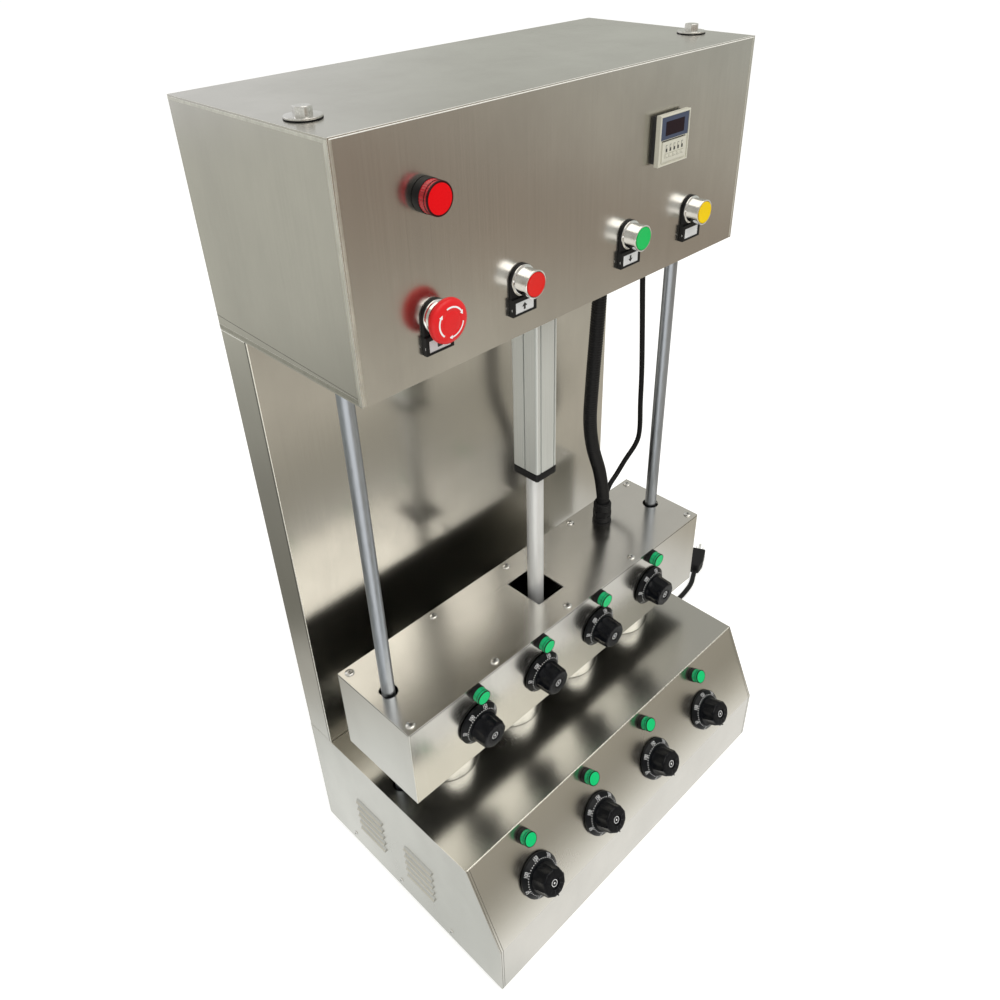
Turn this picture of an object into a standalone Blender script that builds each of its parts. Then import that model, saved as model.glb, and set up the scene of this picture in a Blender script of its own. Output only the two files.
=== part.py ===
"""Pizza cone machine: a countertop press that bakes dough between four pairs of cone moulds.

A wedge-fronted base holds four cup moulds, and a carriage with four cone moulds rides above it
on two guide rods. An electric actuator in the head lifts and lowers the carriage. Each mould has
its own thermostat dial and pilot lamp.

All lengths are in metres. X runs to the machine's right, Y to its back and Z up. The places of
the pieces are counted from the middle of the base's lower front edge, except on the carriage,
whose places are counted from the line between the guide rods at the carriage's underside.
"""

import math

import bmesh
import bpy
import numpy as np
from mathutils import Matrix, Vector

# Whole machine
BODY_WIDTH = 0.540
BODY_DEPTH = 0.360
SHEET = 0.0015
GAP = 0.0003
OVERRUN = 0.002
OVERLAP = 0.0006
FOOT_HEIGHT = 0.008
FOOT_RADIUS = 0.012
FOOT_TAPER = 0.0015
FOOT_INSET = 0.032

# Base
BASE_HEIGHT = 0.1976
SLOPE_SETBACK = 0.0516
SLOPE_FOOT = 0.0862
LOUVRE_SETBACKS = (0.120, 0.219)
LOUVRE_LENGTH = 0.053
LOUVRE_LOWEST = 0.052
LOUVRE_PITCH = 0.0145
LOUVRE_COUNT = 5
LOUVRE_HEIGHT = 0.0075
LOUVRE_DEPTH = 0.003
LOUVRE_SKIN = 0.0009

# Column, and the cover screwed on behind it and behind the head
COLUMN_DEPTH = 0.0478
COLUMN_FLANGE = 0.040
COVER = 0.0012
COVER_INSET = 0.010
ACCESS_MARGIN = 0.025

# Head
COLUMN_HEIGHT = 0.5804
HEAD_HEIGHT = 0.214
HEAD_SETBACK = 0.1324

# Guide rods
ROD_RADIUS = 0.008
ROD_INSET = 0.0244
ROD_SETBACK = 0.1954
ROD_HOLE_CLEARANCE = 0.0035
ROD_FIT = 0.0006
ROD_COLLAR_RADIUS = 0.016
ROD_COLLAR_HEIGHT = 0.023
BOLT_RADIUS = 0.005
BOLT_DEPTH = 0.014
BOLT_HEAD_RADIUS = 0.0096
BOLT_HEAD_HEIGHT = 0.0065
BOLT_FIT = 0.0006
WASHER_RADIUS = 0.015
WASHER_THICKNESS = 0.0025

# Carriage
CARRIAGE_HEIGHT = 0.1207
CARRIAGE_FRONT_REACH = 0.0656
CARRIAGE_REAR_REACH = 0.0639
CARRIAGE_RIM = 0.016
LIFT = 0.250
SQUARE_HOLE_WIDTH = 0.047
SQUARE_HOLE_DEPTH = 0.0566
BUSHING_RADIUS = 0.014
BUSHING_LENGTH = 0.094
BUSHING_FIT = 0.0002

# Moulds
MOULD_COUNT = 4
MOULD_GAP = 0.022
MOULD_ROD_GAP = 0.0126
MOULD_COLLAR_HEIGHT = 0.0381
MOULD_COLLAR_LIP = 0.008
MOULD_FIT = 0.0005
MOULD_FLOOR = 0.012
CUP_WALL = 0.004
CUP_FLOOR_RADIUS = 0.0095
CUP_DEPTH = 0.124
CONE_CLEARANCE = 0.004
CONE_TIP_RADIUS = 0.006
CONE_TIP_CLEARANCE = 0.011
CONE_FLANGE_SETBACK = 0.004
CONE_FLANGE_DROP = 0.0111
MOULD_PARTING = 0.0006
CONE_NECK_RADIUS = 0.012
CONE_NECK_LENGTH = 0.030

# Linear actuator
ACTUATOR_WIDTH = 0.033
ACTUATOR_DEPTH = 0.039
ACTUATOR_CORNER = 0.006
ACTUATOR_GROOVE = 0.004
ACTUATOR_GROOVE_DEPTH = 0.002
ACTUATOR_DROP = 0.229
ACTUATOR_CAP_HEIGHT = 0.0115
ACTUATOR_CAP_LIP = 0.001
ACTUATOR_END_WALL = 0.010
ACTUATOR_ROD_RADIUS = 0.0105
ACTUATOR_ROD_FIT = 0.0006
ACTUATOR_ROD_GRIP = 0.030
GEARBOX_WIDTH = 0.056
GEARBOX_DEPTH = 0.064
GEARBOX_HEIGHT = 0.060
MOTOR_RADIUS = 0.020
MOTOR_LENGTH = 0.100
HANGER_WIDTH = 0.040
HANGER_DEPTH = 0.030
HANGER_HEIGHT = 0.0299
ROD_FOOT_RADIUS = 0.015
ROD_FOOT_HEIGHT = 0.024
ROD_FLANGE_RADIUS = 0.024
ROD_FLANGE_THICKNESS = 0.004

# Thermostats and their dials
DIAL_INSETS = (0.09905, 0.11005)
DIAL_DROP = 0.0624
SLOPE_DIAL_INSETS = (0.0855, 0.1035)
SLOPE_DIAL_DROP = 0.077
DIAL_RADIUS = 0.0285
DIAL_RIM = 0.003
DIAL_CONE = 0.0085
DIAL_NECK_RADIUS = 0.021
DIAL_HEIGHT = 0.031
DIAL_LIFT = 0.001
GRIP_RADIUS = 0.0192
GRIP_BEVEL = 0.003
FLUTE_DEPTH = 0.0015
SPINDLE_RADIUS = 0.003
SPINDLE_LENGTH = 0.013
SPINDLE_FIT = 0.0005
THERMOSTAT_SIDE = 0.036
THERMOSTAT_DEPTH = 0.028
BANK_PLATE_MARGIN = 0.003

# Pilot lamps
LAMP_RADIUS = 0.0076
LAMP_COLLAR_RADIUS = 0.0087
LAMP_COLLAR_HEIGHT = 0.0085
LAMP_HEIGHT = 0.015
LAMP_NECK_RADIUS = 0.0057
LAMP_DROP = 0.0099
SLOPE_LAMP_DROP = 0.0178

# Controls on the head
CONTROL_RISE = 0.0555
# The side that each control is counted from, and its distance from there
CONTROL_INSETS = {"estop": (-1, 0.083), "red": (-1, 0.187), "green": (1, 0.197),
                  "yellow": (1, 0.091)}
CUTOUT_FIT = 0.0004
CONTROL_NECK_RADIUS = 0.0106
CONTROL_NECK_LENGTH = 0.016
HOLDER_RADIUS = 0.0155
HOLDER_THICKNESS = 0.0027
HOLDER_DROP = 0.032
LABEL_HEIGHT = 0.017
LABEL_THICKNESS = 0.0077
BEZEL_BORE = 0.0117
BEZEL_WALL = 0.0017
BEZEL_HEIGHT = 0.0195
BEZEL_FLOOR = 0.009
CAP_FIT = 0.0003
CAP_THICKNESS = 0.0075
CAP_HEIGHT = 0.020
PLUNGER_RADIUS = 0.004
PLUNGER_LENGTH = 0.012
PLUNGER_FIT = 0.0004
BUTTON_TRAVEL = 0.003
ESTOP_BEZEL_RADIUS = 0.014
ESTOP_BEZEL_HEIGHT = 0.008
ESTOP_STEM_RADIUS = 0.008
ESTOP_STEM_HEIGHT = 0.018
ESTOP_RADIUS = 0.020
ESTOP_HEIGHT = 0.022
ESTOP_BACK = 0.013
ESTOP_RIM = 0.0035
POWER_LAMP_RISE = 0.1565
POWER_LAMP_RADIUS = 0.0136
POWER_LAMP_COLLAR = 0.014
POWER_LAMP_COLLAR_HEIGHT = 0.008
POWER_LAMP_HEIGHT = 0.019
POWER_LAMP_BEVEL = 0.0015

# Timer
TIMER_INSET = 0.144
TIMER_RISE = 0.1405
TIMER_SIDE = 0.0483
TIMER_HEIGHT = 0.010
TIMER_RIM = 0.00195
TIMER_BODY_DEPTH = 0.060
TIMER_KEY_COUNT = 5
TIMER_KEY_PITCH = 0.0064
TIMER_KEY_WIDTH = 0.0044
TIMER_KEY_HEIGHT = 0.0034
TIMER_KEY_DROP = 0.0145
TIMER_KEY_PROUD = 0.0012
TIMER_KEY_DEPTH = 0.0022
TIMER_POCKET_DEPTH = 0.0034
KEY_FIT = 0.0003

# Conduit, signal cable and their glands
CONDUIT_RADIUS = 0.009
CONDUIT_BORE = 0.0062
CONDUIT_PITCH = 0.0045
CONDUIT_GROOVE_SHARE = 0.86
CONDUIT_FOOT_INSET = 0.105
CONDUIT_HEAD_INSET = 0.1275
CONDUIT_SETBACK = 0.221
GLAND_RADIUS = 0.0125
GLAND_NUT_RADIUS = 0.0135
GLAND_NUT_BOTTOM = 0.014
GLAND_HEIGHT = 0.035
GLAND_MOUTH_DEPTH = 0.008
GLAND_NECK_RADIUS = 0.009
GLAND_NECK_LENGTH = 0.006
GLAND_FIT = 0.0004
HEAD_GLAND_HEIGHT = 0.024
CABLE_RADIUS = 0.0035
CABLE_FOOT_INSET = 0.0865
CABLE_FOOT_SETBACK = 0.2355
CABLE_HEAD_INSET = 0.045
CABLE_HEAD_SETBACK = 0.224
GROMMET_RADIUS = 0.0075
GROMMET_HEIGHT = 0.007
GROMMET_MOUTH_DEPTH = 0.003
GROMMET_NECK_RADIUS = 0.0055
BACKING_THICKNESS = 0.003
BACKING_MARGIN = 0.001
# How far the conduit and the cable sway from their feet, and how high, as shares of their height
CONDUIT_SWAYS = (-0.0095, -0.0265, -0.0340, -0.0320, -0.0282, -0.0245)
CONDUIT_RISE_SHARES = (0.170, 0.304, 0.427, 0.580, 0.730, 0.872)
CABLE_SWAYS = (
    (0.0166, 0.0025), (0.0355, 0.0045), (0.0510, 0.0025), (0.0695, -0.0015), (0.0730, -0.0035),
    (0.0675, -0.0055), (0.0625, -0.0075), (0.0545, -0.0095), (0.0460, -0.0105),
)
CABLE_RISE_SHARES = (0.0736, 0.1005, 0.1441, 0.2002, 0.2576, 0.3748, 0.5070, 0.6641, 0.8536)

# Mains lead, with the length that is put away wound in a coil beside the base
LEAD_RADIUS = 0.0046
LEAD_SETBACK = 0.258
LEAD_EXIT_HEIGHT = 0.024
# The lead's way down to the coil, as shares of its reach and of its drop
LEAD_DROP_SHARES = ((0.10, 0.0), (0.25, 0.06), (0.42, 0.32), (0.58, 0.68), (0.74, 0.93),
                    (0.88, 1.0))
RELIEF_NUT_RADIUS = 0.011
RELIEF_NUT_LENGTH = 0.008
RELIEF_LENGTH = 0.030
RELIEF_TIP_RADIUS = 0.0062
RELIEF_NECK_RADIUS = 0.007
RELIEF_NECK_LENGTH = 0.010
COIL_REACH = 0.108
COIL_RADIUS = 0.061
COIL_PITCH = 0.010
COIL_LAYER = 0.0098
COIL_TURNS = 5
COIL_STEPS = 24
# The run from the coil to the plug on the floor, counted from the body's right side
RUN_ROUTE = ((0.155, 0.2565), (0.188, 0.257), (0.213, 0.2595), (0.238, 0.265), (0.259, 0.2745))
PLUG_REACH = 0.272
PLUG_SETBACK = 0.281
PLUG_HEADING = math.radians(26)
PLUG_LENGTH = 0.055
PLUG_WIDTH = 0.0255
PLUG_THICKNESS = 0.020
PLUG_TAIL_WIDTH = 0.015
PLUG_TAPER = 0.020
BLADE_LENGTH = 0.017
BLADE_WIDTH = 0.0063
BLADE_THICKNESS = 0.0015
BLADE_SPACING = 0.0127
EARTH_PIN_RADIUS = 0.0024
EARTH_PIN_LIFT = 0.0055

# How many sides a round piece has
ROUND = 16
FINE_ROUND = 20
SMALL_ROUND = 10
TINY_ROUND = 8

HALF_WIDTH = BODY_WIDTH / 2
REAR_FACE = BODY_DEPTH - COVER - GAP
COLUMN_FRONT = BODY_DEPTH - COLUMN_DEPTH
HEAD_BOTTOM = BASE_HEIGHT + COLUMN_HEIGHT
HEAD_TOP = HEAD_BOTTOM + HEAD_HEIGHT
ROD_X = HALF_WIDTH - ROD_INSET
ROD_TOP = HEAD_TOP - SHEET - GAP
ROD_HOLE_RADIUS = ROD_RADIUS + ROD_HOLE_CLEARANCE
RIM_Z = BASE_HEIGHT + GAP + MOULD_COLLAR_HEIGHT
CARRIAGE_REST = RIM_Z + MOULD_PARTING + CONE_FLANGE_DROP
LID_TOP = CARRIAGE_REST + CARRIAGE_HEIGHT
LID_BOTTOM_RISE = CARRIAGE_HEIGHT - SHEET
CARRIAGE_RIM_TOP = LID_BOTTOM_RISE - GAP
SLOPE_LEAN = math.atan2(SLOPE_SETBACK, BASE_HEIGHT - SLOPE_FOOT)
MOULD_SPACING = (ROD_X - ROD_RADIUS - MOULD_ROD_GAP + MOULD_GAP / 2) / (MOULD_COUNT / 2)
MOULD_COLLAR_RADIUS = (MOULD_SPACING - MOULD_GAP) / 2
MOULD_BODY_RADIUS = MOULD_COLLAR_RADIUS - MOULD_COLLAR_LIP
CUP_MOUTH_RADIUS = MOULD_BODY_RADIUS - CUP_WALL
CONE_MOUTH_RADIUS = CUP_MOUTH_RADIUS - CONE_CLEARANCE
CONE_LENGTH = CUP_DEPTH - CONE_TIP_CLEARANCE
CONE_FLANGE_RADIUS = MOULD_COLLAR_RADIUS - CONE_FLANGE_SETBACK
ACTUATOR_CAP_BOTTOM = HEAD_BOTTOM - ACTUATOR_DROP
GEARBOX_TOP = HEAD_TOP - SHEET - GAP - HANGER_HEIGHT
ACTUATOR_TOP = GEARBOX_TOP - GEARBOX_HEIGHT - GAP
DIAL_RISE = CARRIAGE_HEIGHT - DIAL_DROP
LAMP_RISE = DIAL_DROP - LAMP_DROP
CUTOUT_RADIUS = CONTROL_NECK_RADIUS + CUTOUT_FIT
BEZEL_RADIUS = BEZEL_BORE + BEZEL_WALL
CONTROL_PLACES = {kind: side * (HALF_WIDTH - inset)
                  for kind, (side, inset) in CONTROL_INSETS.items()}
TIMER_X = HALF_WIDTH - TIMER_INSET
TIMER_BODY_SIDE = TIMER_SIDE - 2 * TIMER_RIM
FLOOR = -FOOT_HEIGHT
LEAD_FLOOR = FLOOR + LEAD_RADIUS
LEAD_START_X = HALF_WIDTH + GAP + RELIEF_LENGTH
COIL_X = HALF_WIDTH + COIL_REACH
PLUG_START = (HALF_WIDTH + PLUG_REACH, PLUG_SETBACK)
CONDUIT_FOOT = (HALF_WIDTH - CONDUIT_FOOT_INSET, CONDUIT_SETBACK)
CONDUIT_HEAD = (HALF_WIDTH - CONDUIT_HEAD_INSET, CONDUIT_SETBACK)
CABLE_FOOT = (HALF_WIDTH - CABLE_FOOT_INSET, CABLE_FOOT_SETBACK)
CABLE_HEAD = (HALF_WIDTH - CABLE_HEAD_INSET, CABLE_HEAD_SETBACK)

# The frame's origin lies on the floor, in the middle of the machine without its mains lead
FRONT_MOST = (
    SLOPE_SETBACK
    - math.sin(SLOPE_LEAN) * (SLOPE_DIAL_DROP + GRIP_RADIUS - GRIP_BEVEL)
    - math.cos(SLOPE_LEAN) * DIAL_HEIGHT
)
ORIGIN_SETBACK = (FRONT_MOST + BODY_DEPTH) / 2

FACING_FRONT = Matrix.Rotation(math.pi / 2, 4, "X")
FACING_SLOPE = Matrix.Rotation(math.pi / 2 - SLOPE_LEAN, 4, "X")
FACING_RIGHT = Matrix.Rotation(math.pi / 2, 4, "Y")
FACING_LEFT = Matrix.Rotation(-math.pi / 2, 4, "Y")
FACING_DOWN = Matrix.Rotation(math.pi, 4, "X")
IDENTITY = Matrix.Identity(4)
ALONG = Vector((1, 0, 0))
UP = Vector((0, 0, 1))

# Colour, roughness and metallic value of each finish
STEEL = ("stainless", (0.62, 0.61, 0.58), 0.32, 1.0)
BRIGHT_STEEL = ("bright_steel", (0.78, 0.78, 0.76), 0.18, 1.0)
ALUMINIUM = ("aluminium", (0.80, 0.81, 0.82), 0.40, 0.9)
BLACK = ("black_plastic", (0.018, 0.018, 0.020), 0.42, 0.0)
RUBBER = ("rubber", (0.030, 0.030, 0.032), 0.75, 0.0)
CREAM = ("cream_plastic", (0.78, 0.76, 0.66), 0.45, 0.0)
RED = ("red_plastic", (0.80, 0.02, 0.03), 0.35, 0.0)
GREEN = ("green_plastic", (0.02, 0.55, 0.16), 0.35, 0.0)
YELLOW = ("yellow_plastic", (0.90, 0.68, 0.02), 0.35, 0.0)


def clear_scene():
    for item in list(bpy.data.objects):
        bpy.data.objects.remove(item, do_unlink=True)


def finish_material(finish):
    """Returns the Principled material of a finish, made once."""
    name, colour, roughness, metallic = finish
    if name in bpy.data.materials:
        return bpy.data.materials[name]
    material = bpy.data.materials.new(name)
    material.use_nodes = True
    shader = material.node_tree.nodes["Principled BSDF"]
    shader.inputs["Base Color"].default_value = (*colour, 1.0)
    shader.inputs["Roughness"].default_value = roughness
    shader.inputs["Metallic"].default_value = metallic
    return material


def empty(name, place, parent=None):
    item = bpy.data.objects.new(name, None)
    bpy.context.scene.collection.objects.link(item)
    item.parent = parent
    item.matrix_basis = Matrix.Translation(place)
    return item


def make(name, bm, finish, parent, place=IDENTITY):
    """Turns a bmesh into a named object on its parent, with outward faces and smooth rounds."""
    bmesh.ops.recalc_face_normals(bm, faces=bm.faces)
    mesh = bpy.data.meshes.new(name)
    bm.to_mesh(mesh)
    bm.free()
    mesh.shade_smooth()
    mesh.set_sharp_from_angle(angle=math.radians(35))
    item = bpy.data.objects.new(name, mesh)
    bpy.context.scene.collection.objects.link(item)
    item.data.materials.append(finish_material(finish))
    item.parent = parent
    item.matrix_basis = place
    return item


def combine(item, operation, bm, label):
    """Adds a Boolean to an object, with a hidden helper made from the bmesh."""
    helper = make(item.name + "_" + label, bm, STEEL, item.parent, item.matrix_basis)
    helper.hide_render = True
    helper.display_type = "WIRE"
    boolean = item.modifiers.new(label, "BOOLEAN")
    boolean.operation = operation
    boolean.solver = "EXACT"
    boolean.object = helper


def box(bm, low, high):
    size = [top - bottom for bottom, top in zip(low, high)]
    middle = [(top + bottom) / 2 for bottom, top in zip(low, high)]
    shape = Matrix.Translation(middle) @ Matrix.Diagonal((*size, 1))
    bmesh.ops.create_cube(bm, size=1, matrix=shape)


def prism(bm, outline, start, end, axis):
    """Adds an outline extruded along an axis: (y, z) points for X, (x, z) for Y, (x, y) for Z."""
    spot = {
        "X": lambda point, along: (along, point[0], point[1]),
        "Y": lambda point, along: (point[0], along, point[1]),
        "Z": lambda point, along: (point[0], point[1], along),
    }[axis]
    first = [bm.verts.new(spot(point, start)) for point in outline]
    last = [bm.verts.new(spot(point, end)) for point in outline]
    bm.faces.new(first)
    bm.faces.new(last)
    for k in range(len(outline)):
        after = (k + 1) % len(outline)
        bm.faces.new((first[k], first[after], last[after], last[k]))


def turned(bm, profile, segments, place=IDENTITY, fluted=(), flute=0.0):
    """Adds the solid swept round Z by (radius, height) points.

    A profile that begins and ends on the axis makes a plug, and any other closes into a ring.
    The points numbered in fluted have every second radius drawn in by flute.
    """
    rings = []
    for number, (radius, height) in enumerate(profile):
        if radius == 0:
            rings.append([bm.verts.new(place @ Vector((0, 0, height)))])
            continue
        ring = []
        for k in range(segments):
            reach = radius - flute * (k % 2) if number in fluted else radius
            angle = math.tau * k / segments
            spot = Vector((reach * math.cos(angle), reach * math.sin(angle), height))
            ring.append(bm.verts.new(place @ spot))
        rings.append(ring)
    pairs = list(zip(rings, rings[1:]))
    if len(rings[0]) > 1:
        pairs.append((rings[-1], rings[0]))
    for one, two in pairs:
        for k in range(segments):
            after = (k + 1) % segments
            if len(one) == 1:
                bm.faces.new((one[0], two[k], two[after]))
            elif len(two) == 1:
                bm.faces.new((one[k], one[after], two[0]))
            else:
                bm.faces.new((one[k], one[after], two[after], two[k]))


def drill(bm, radius, start, end, segments, place=IDENTITY):
    """Adds a plain cylinder along Z between two heights, for a hole or a pin."""
    turned(bm, [(0, start), (radius, start), (radius, end), (0, end)], segments, place)


def offset_outline(points, distance):
    """Moves every edge of a clockwise (y, z) outline inward and returns the new corners."""
    corners = []
    count = len(points)
    for k in range(count):
        before, here, after = (Vector(points[(k + j) % count]) for j in (-1, 0, 1))
        one, two = (here - before).normalized(), (after - here).normalized()
        normal_one, normal_two = Vector((one.y, -one.x)), Vector((two.y, -two.x))
        lean = (normal_one + normal_two) / (1 + normal_one.dot(normal_two))
        corners.append(tuple(here + lean * distance))
    return corners


def smooth_route(points, step, leaving, arriving):
    """Returns evenly spaced points on one smooth curve through the given points.

    The curve leaves its first point and arrives at its last along the two unit vectors.
    """
    spots = [Vector(point) for point in points]
    before = spots[1] - 2 * leaving * (spots[1] - spots[0]).dot(leaving)
    beyond = spots[-2] + 2 * arriving * (spots[-1] - spots[-2]).dot(arriving)
    spots = [before] + spots + [beyond]
    dense = []
    shares = [k / 20 for k in range(20)]
    for a, b, c, d in zip(spots, spots[1:], spots[2:], spots[3:]):
        for s in shares:
            dense.append(
                0.5 * (2 * b + (c - a) * s + (2 * a - 5 * b + 4 * c - d) * s**2
                       + (3 * b - a - 3 * c + d) * s**3)
            )
    dense.append(spots[-2])
    lengths = [0.0]
    for one, two in zip(dense, dense[1:]):
        lengths.append(lengths[-1] + (two - one).length)
    count = max(2, round(lengths[-1] / step))
    route = []
    for k in range(count + 1):
        target = lengths[-1] * k / count
        place = int(np.searchsorted(lengths, target, side="right")) - 1
        place = min(place, len(dense) - 2)
        span = lengths[place + 1] - lengths[place]
        route.append(dense[place].lerp(dense[place + 1], (target - lengths[place]) / span))
    return route


def route_length(points):
    return sum((two - one).length for one, two in zip(points, points[1:]))


def tube(name, points, radius, resolution, finish, parent, shares=None):
    """A tube along points, as a curve with filled caps. Shares scale the radius at each point."""
    curve = bpy.data.curves.new(name, "CURVE")
    curve.dimensions = "3D"
    curve.bevel_depth = radius
    curve.bevel_resolution = resolution
    curve.use_fill_caps = True
    spline = curve.splines.new("POLY")
    spline.points.add(len(points) - 1)
    for k, point in enumerate(points):
        spline.points[k].co = (*point, 1)
        spline.points[k].radius = shares[k] if shares else 1
    curve.materials.append(finish_material(finish))
    item = bpy.data.objects.new(name, curve)
    bpy.context.scene.collection.objects.link(item)
    item.parent = parent
    return item


def tube_bmesh(points, radius, resolution, shares=None):
    """The mesh of such a tube, as a bmesh that a Boolean can use."""
    helper = tube("tube_helper", points, radius, resolution, RUBBER, None, shares)
    graph = bpy.context.evaluated_depsgraph_get()
    mesh = bpy.data.meshes.new_from_object(helper.evaluated_get(graph))
    bm = bmesh.new()
    bm.from_mesh(mesh)
    bmesh.ops.remove_doubles(bm, verts=bm.verts, dist=OVERLAP / 100)
    bpy.data.objects.remove(helper, do_unlink=True)
    return bm


def row_places(count, spacing):
    return [spacing * (k - (count - 1) / 2) for k in range(count)]


def inset_places(count, insets):
    """Even places between the body's sides, the first and the last inset from them."""
    first, last = insets[0] - HALF_WIDTH, HALF_WIDTH - insets[1]
    return [first + (last - first) * k / (count - 1) for k in range(count)]


def slope_place(x, drop):
    """The place of a control on the sloped panel, a drop below its upper edge."""
    y = SLOPE_SETBACK - math.sin(SLOPE_LEAN) * drop
    z = BASE_HEIGHT - math.cos(SLOPE_LEAN) * drop
    return Matrix.Translation((x, y, z)) @ FACING_SLOPE


def head_place(x, rise):
    return Matrix.Translation((x, HEAD_SETBACK, HEAD_BOTTOM + rise)) @ FACING_FRONT


def carriage_place(x, rise):
    return Matrix.Translation((x, -CARRIAGE_FRONT_REACH, rise)) @ FACING_FRONT


MOULD_PLACES = row_places(MOULD_COUNT, MOULD_SPACING)
DIAL_PLACES = inset_places(MOULD_COUNT, DIAL_INSETS)
SLOPE_DIAL_PLACES = inset_places(MOULD_COUNT, SLOPE_DIAL_INSETS)
ROD_PLACES = (-ROD_X, ROD_X)
SIDES = ("left", "right")


def at(x, y, z=0.0):
    return Matrix.Translation((x, y, z))


# Base


def louvre_tops():
    return [LOUVRE_LOWEST + LOUVRE_HEIGHT + LOUVRE_PITCH * k for k in range(LOUVRE_COUNT)]


def base_housing(machine):
    """Folded sheet: front strip, sloped panel, deck, back and both sides, open underneath."""
    outer = [
        (0, 0), (0, SLOPE_FOOT), (SLOPE_SETBACK, BASE_HEIGHT), (REAR_FACE, BASE_HEIGHT),
        (REAR_FACE, 0),
    ]
    inner = offset_outline(outer, SHEET)
    inner[0] = (inner[0][0], -OVERRUN)
    inner[-1] = (inner[-1][0], -OVERRUN)
    bm = bmesh.new()
    prism(bm, outer, -HALF_WIDTH, HALF_WIDTH, "X")
    item = make("base_housing", bm, STEEL, machine)

    hoods, cavity, holes = bmesh.new(), bmesh.new(), bmesh.new()
    prism(cavity, inner, -HALF_WIDTH + SHEET, HALF_WIDTH - SHEET, "X")
    for side in (-1, 1):
        wall = side * HALF_WIDTH
        for setback in LOUVRE_SETBACKS:
            for top in louvre_tops():
                low = top - LOUVRE_HEIGHT
                hood = [(wall - side * OVERLAP, top), (wall, top),
                        (wall + side * LOUVRE_DEPTH, low), (wall - side * OVERLAP, low)]
                throat = [(wall - side * (SHEET + OVERRUN), top - LOUVRE_SKIN - SHEET),
                          (wall, top - LOUVRE_SKIN - SHEET),
                          (wall + side * (LOUVRE_DEPTH - LOUVRE_SKIN), low - OVERLAP),
                          (wall - side * (SHEET + OVERRUN), low - OVERLAP)]
                prism(hoods, hood, setback, setback + LOUVRE_LENGTH, "Y")
                prism(holes, throat, setback + LOUVRE_SKIN,
                      setback + LOUVRE_LENGTH - LOUVRE_SKIN, "Y")
    for x in MOULD_PLACES:
        drill(holes, MOULD_BODY_RADIUS + MOULD_FIT, -SHEET - OVERRUN, OVERRUN, FINE_ROUND,
              at(x, ROD_SETBACK, BASE_HEIGHT))
    for x in ROD_PLACES:
        drill(holes, ROD_HOLE_RADIUS, -SHEET - OVERRUN, OVERRUN, ROUND,
              at(x, ROD_SETBACK, BASE_HEIGHT))
    for x in SLOPE_DIAL_PLACES:
        drill(holes, SPINDLE_RADIUS + SPINDLE_FIT, -SHEET - OVERRUN, OVERRUN, TINY_ROUND,
              slope_place(x, SLOPE_DIAL_DROP))
        drill(holes, LAMP_NECK_RADIUS + GAP, -SHEET - OVERRUN, OVERRUN, SMALL_ROUND,
              slope_place(x, SLOPE_LAMP_DROP))
    drill(holes, RELIEF_NECK_RADIUS + GLAND_FIT, -SHEET - OVERRUN, OVERRUN, ROUND,
          at(HALF_WIDTH, LEAD_SETBACK, LEAD_EXIT_HEIGHT) @ FACING_RIGHT)
    combine(item, "UNION", hoods, "hoods")
    combine(item, "DIFFERENCE", cavity, "cavity")
    combine(item, "DIFFERENCE", holes, "holes")


def base_bottom_plate(machine):
    """The plate that closes the base, with its four rubber feet moulded on."""
    edge = SHEET + GAP
    bm, feet = bmesh.new(), bmesh.new()
    box(bm, (-HALF_WIDTH + edge, edge, 0), (HALF_WIDTH - edge, REAR_FACE - edge, SHEET))
    item = make("base_bottom_plate", bm, STEEL, machine)
    profile = [(0, FLOOR), (FOOT_RADIUS - FOOT_TAPER, FLOOR), (FOOT_RADIUS, OVERLAP),
               (0, OVERLAP)]
    for x in (-HALF_WIDTH + FOOT_INSET, HALF_WIDTH - FOOT_INSET):
        for y in (FOOT_INSET, BODY_DEPTH - FOOT_INSET):
            turned(feet, profile, SMALL_ROUND, at(x, y))
    combine(item, "UNION", feet, "feet")


def lower_moulds(machine):
    """Four machined cups, each standing on the deck by its collar."""
    cup_floor = RIM_Z - CUP_DEPTH
    deck = BASE_HEIGHT + GAP
    profile = [
        (0, cup_floor - MOULD_FLOOR), (MOULD_BODY_RADIUS, cup_floor - MOULD_FLOOR),
        (MOULD_BODY_RADIUS, deck), (MOULD_COLLAR_RADIUS, deck), (MOULD_COLLAR_RADIUS, RIM_Z),
        (CUP_MOUTH_RADIUS, RIM_Z), (CUP_FLOOR_RADIUS, cup_floor), (0, cup_floor),
    ]
    for number, x in enumerate(MOULD_PLACES, start=1):
        bm = bmesh.new()
        turned(bm, profile, FINE_ROUND)
        make(f"lower_mould_{number}", bm, BRIGHT_STEEL, machine, at(x, ROD_SETBACK))


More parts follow.
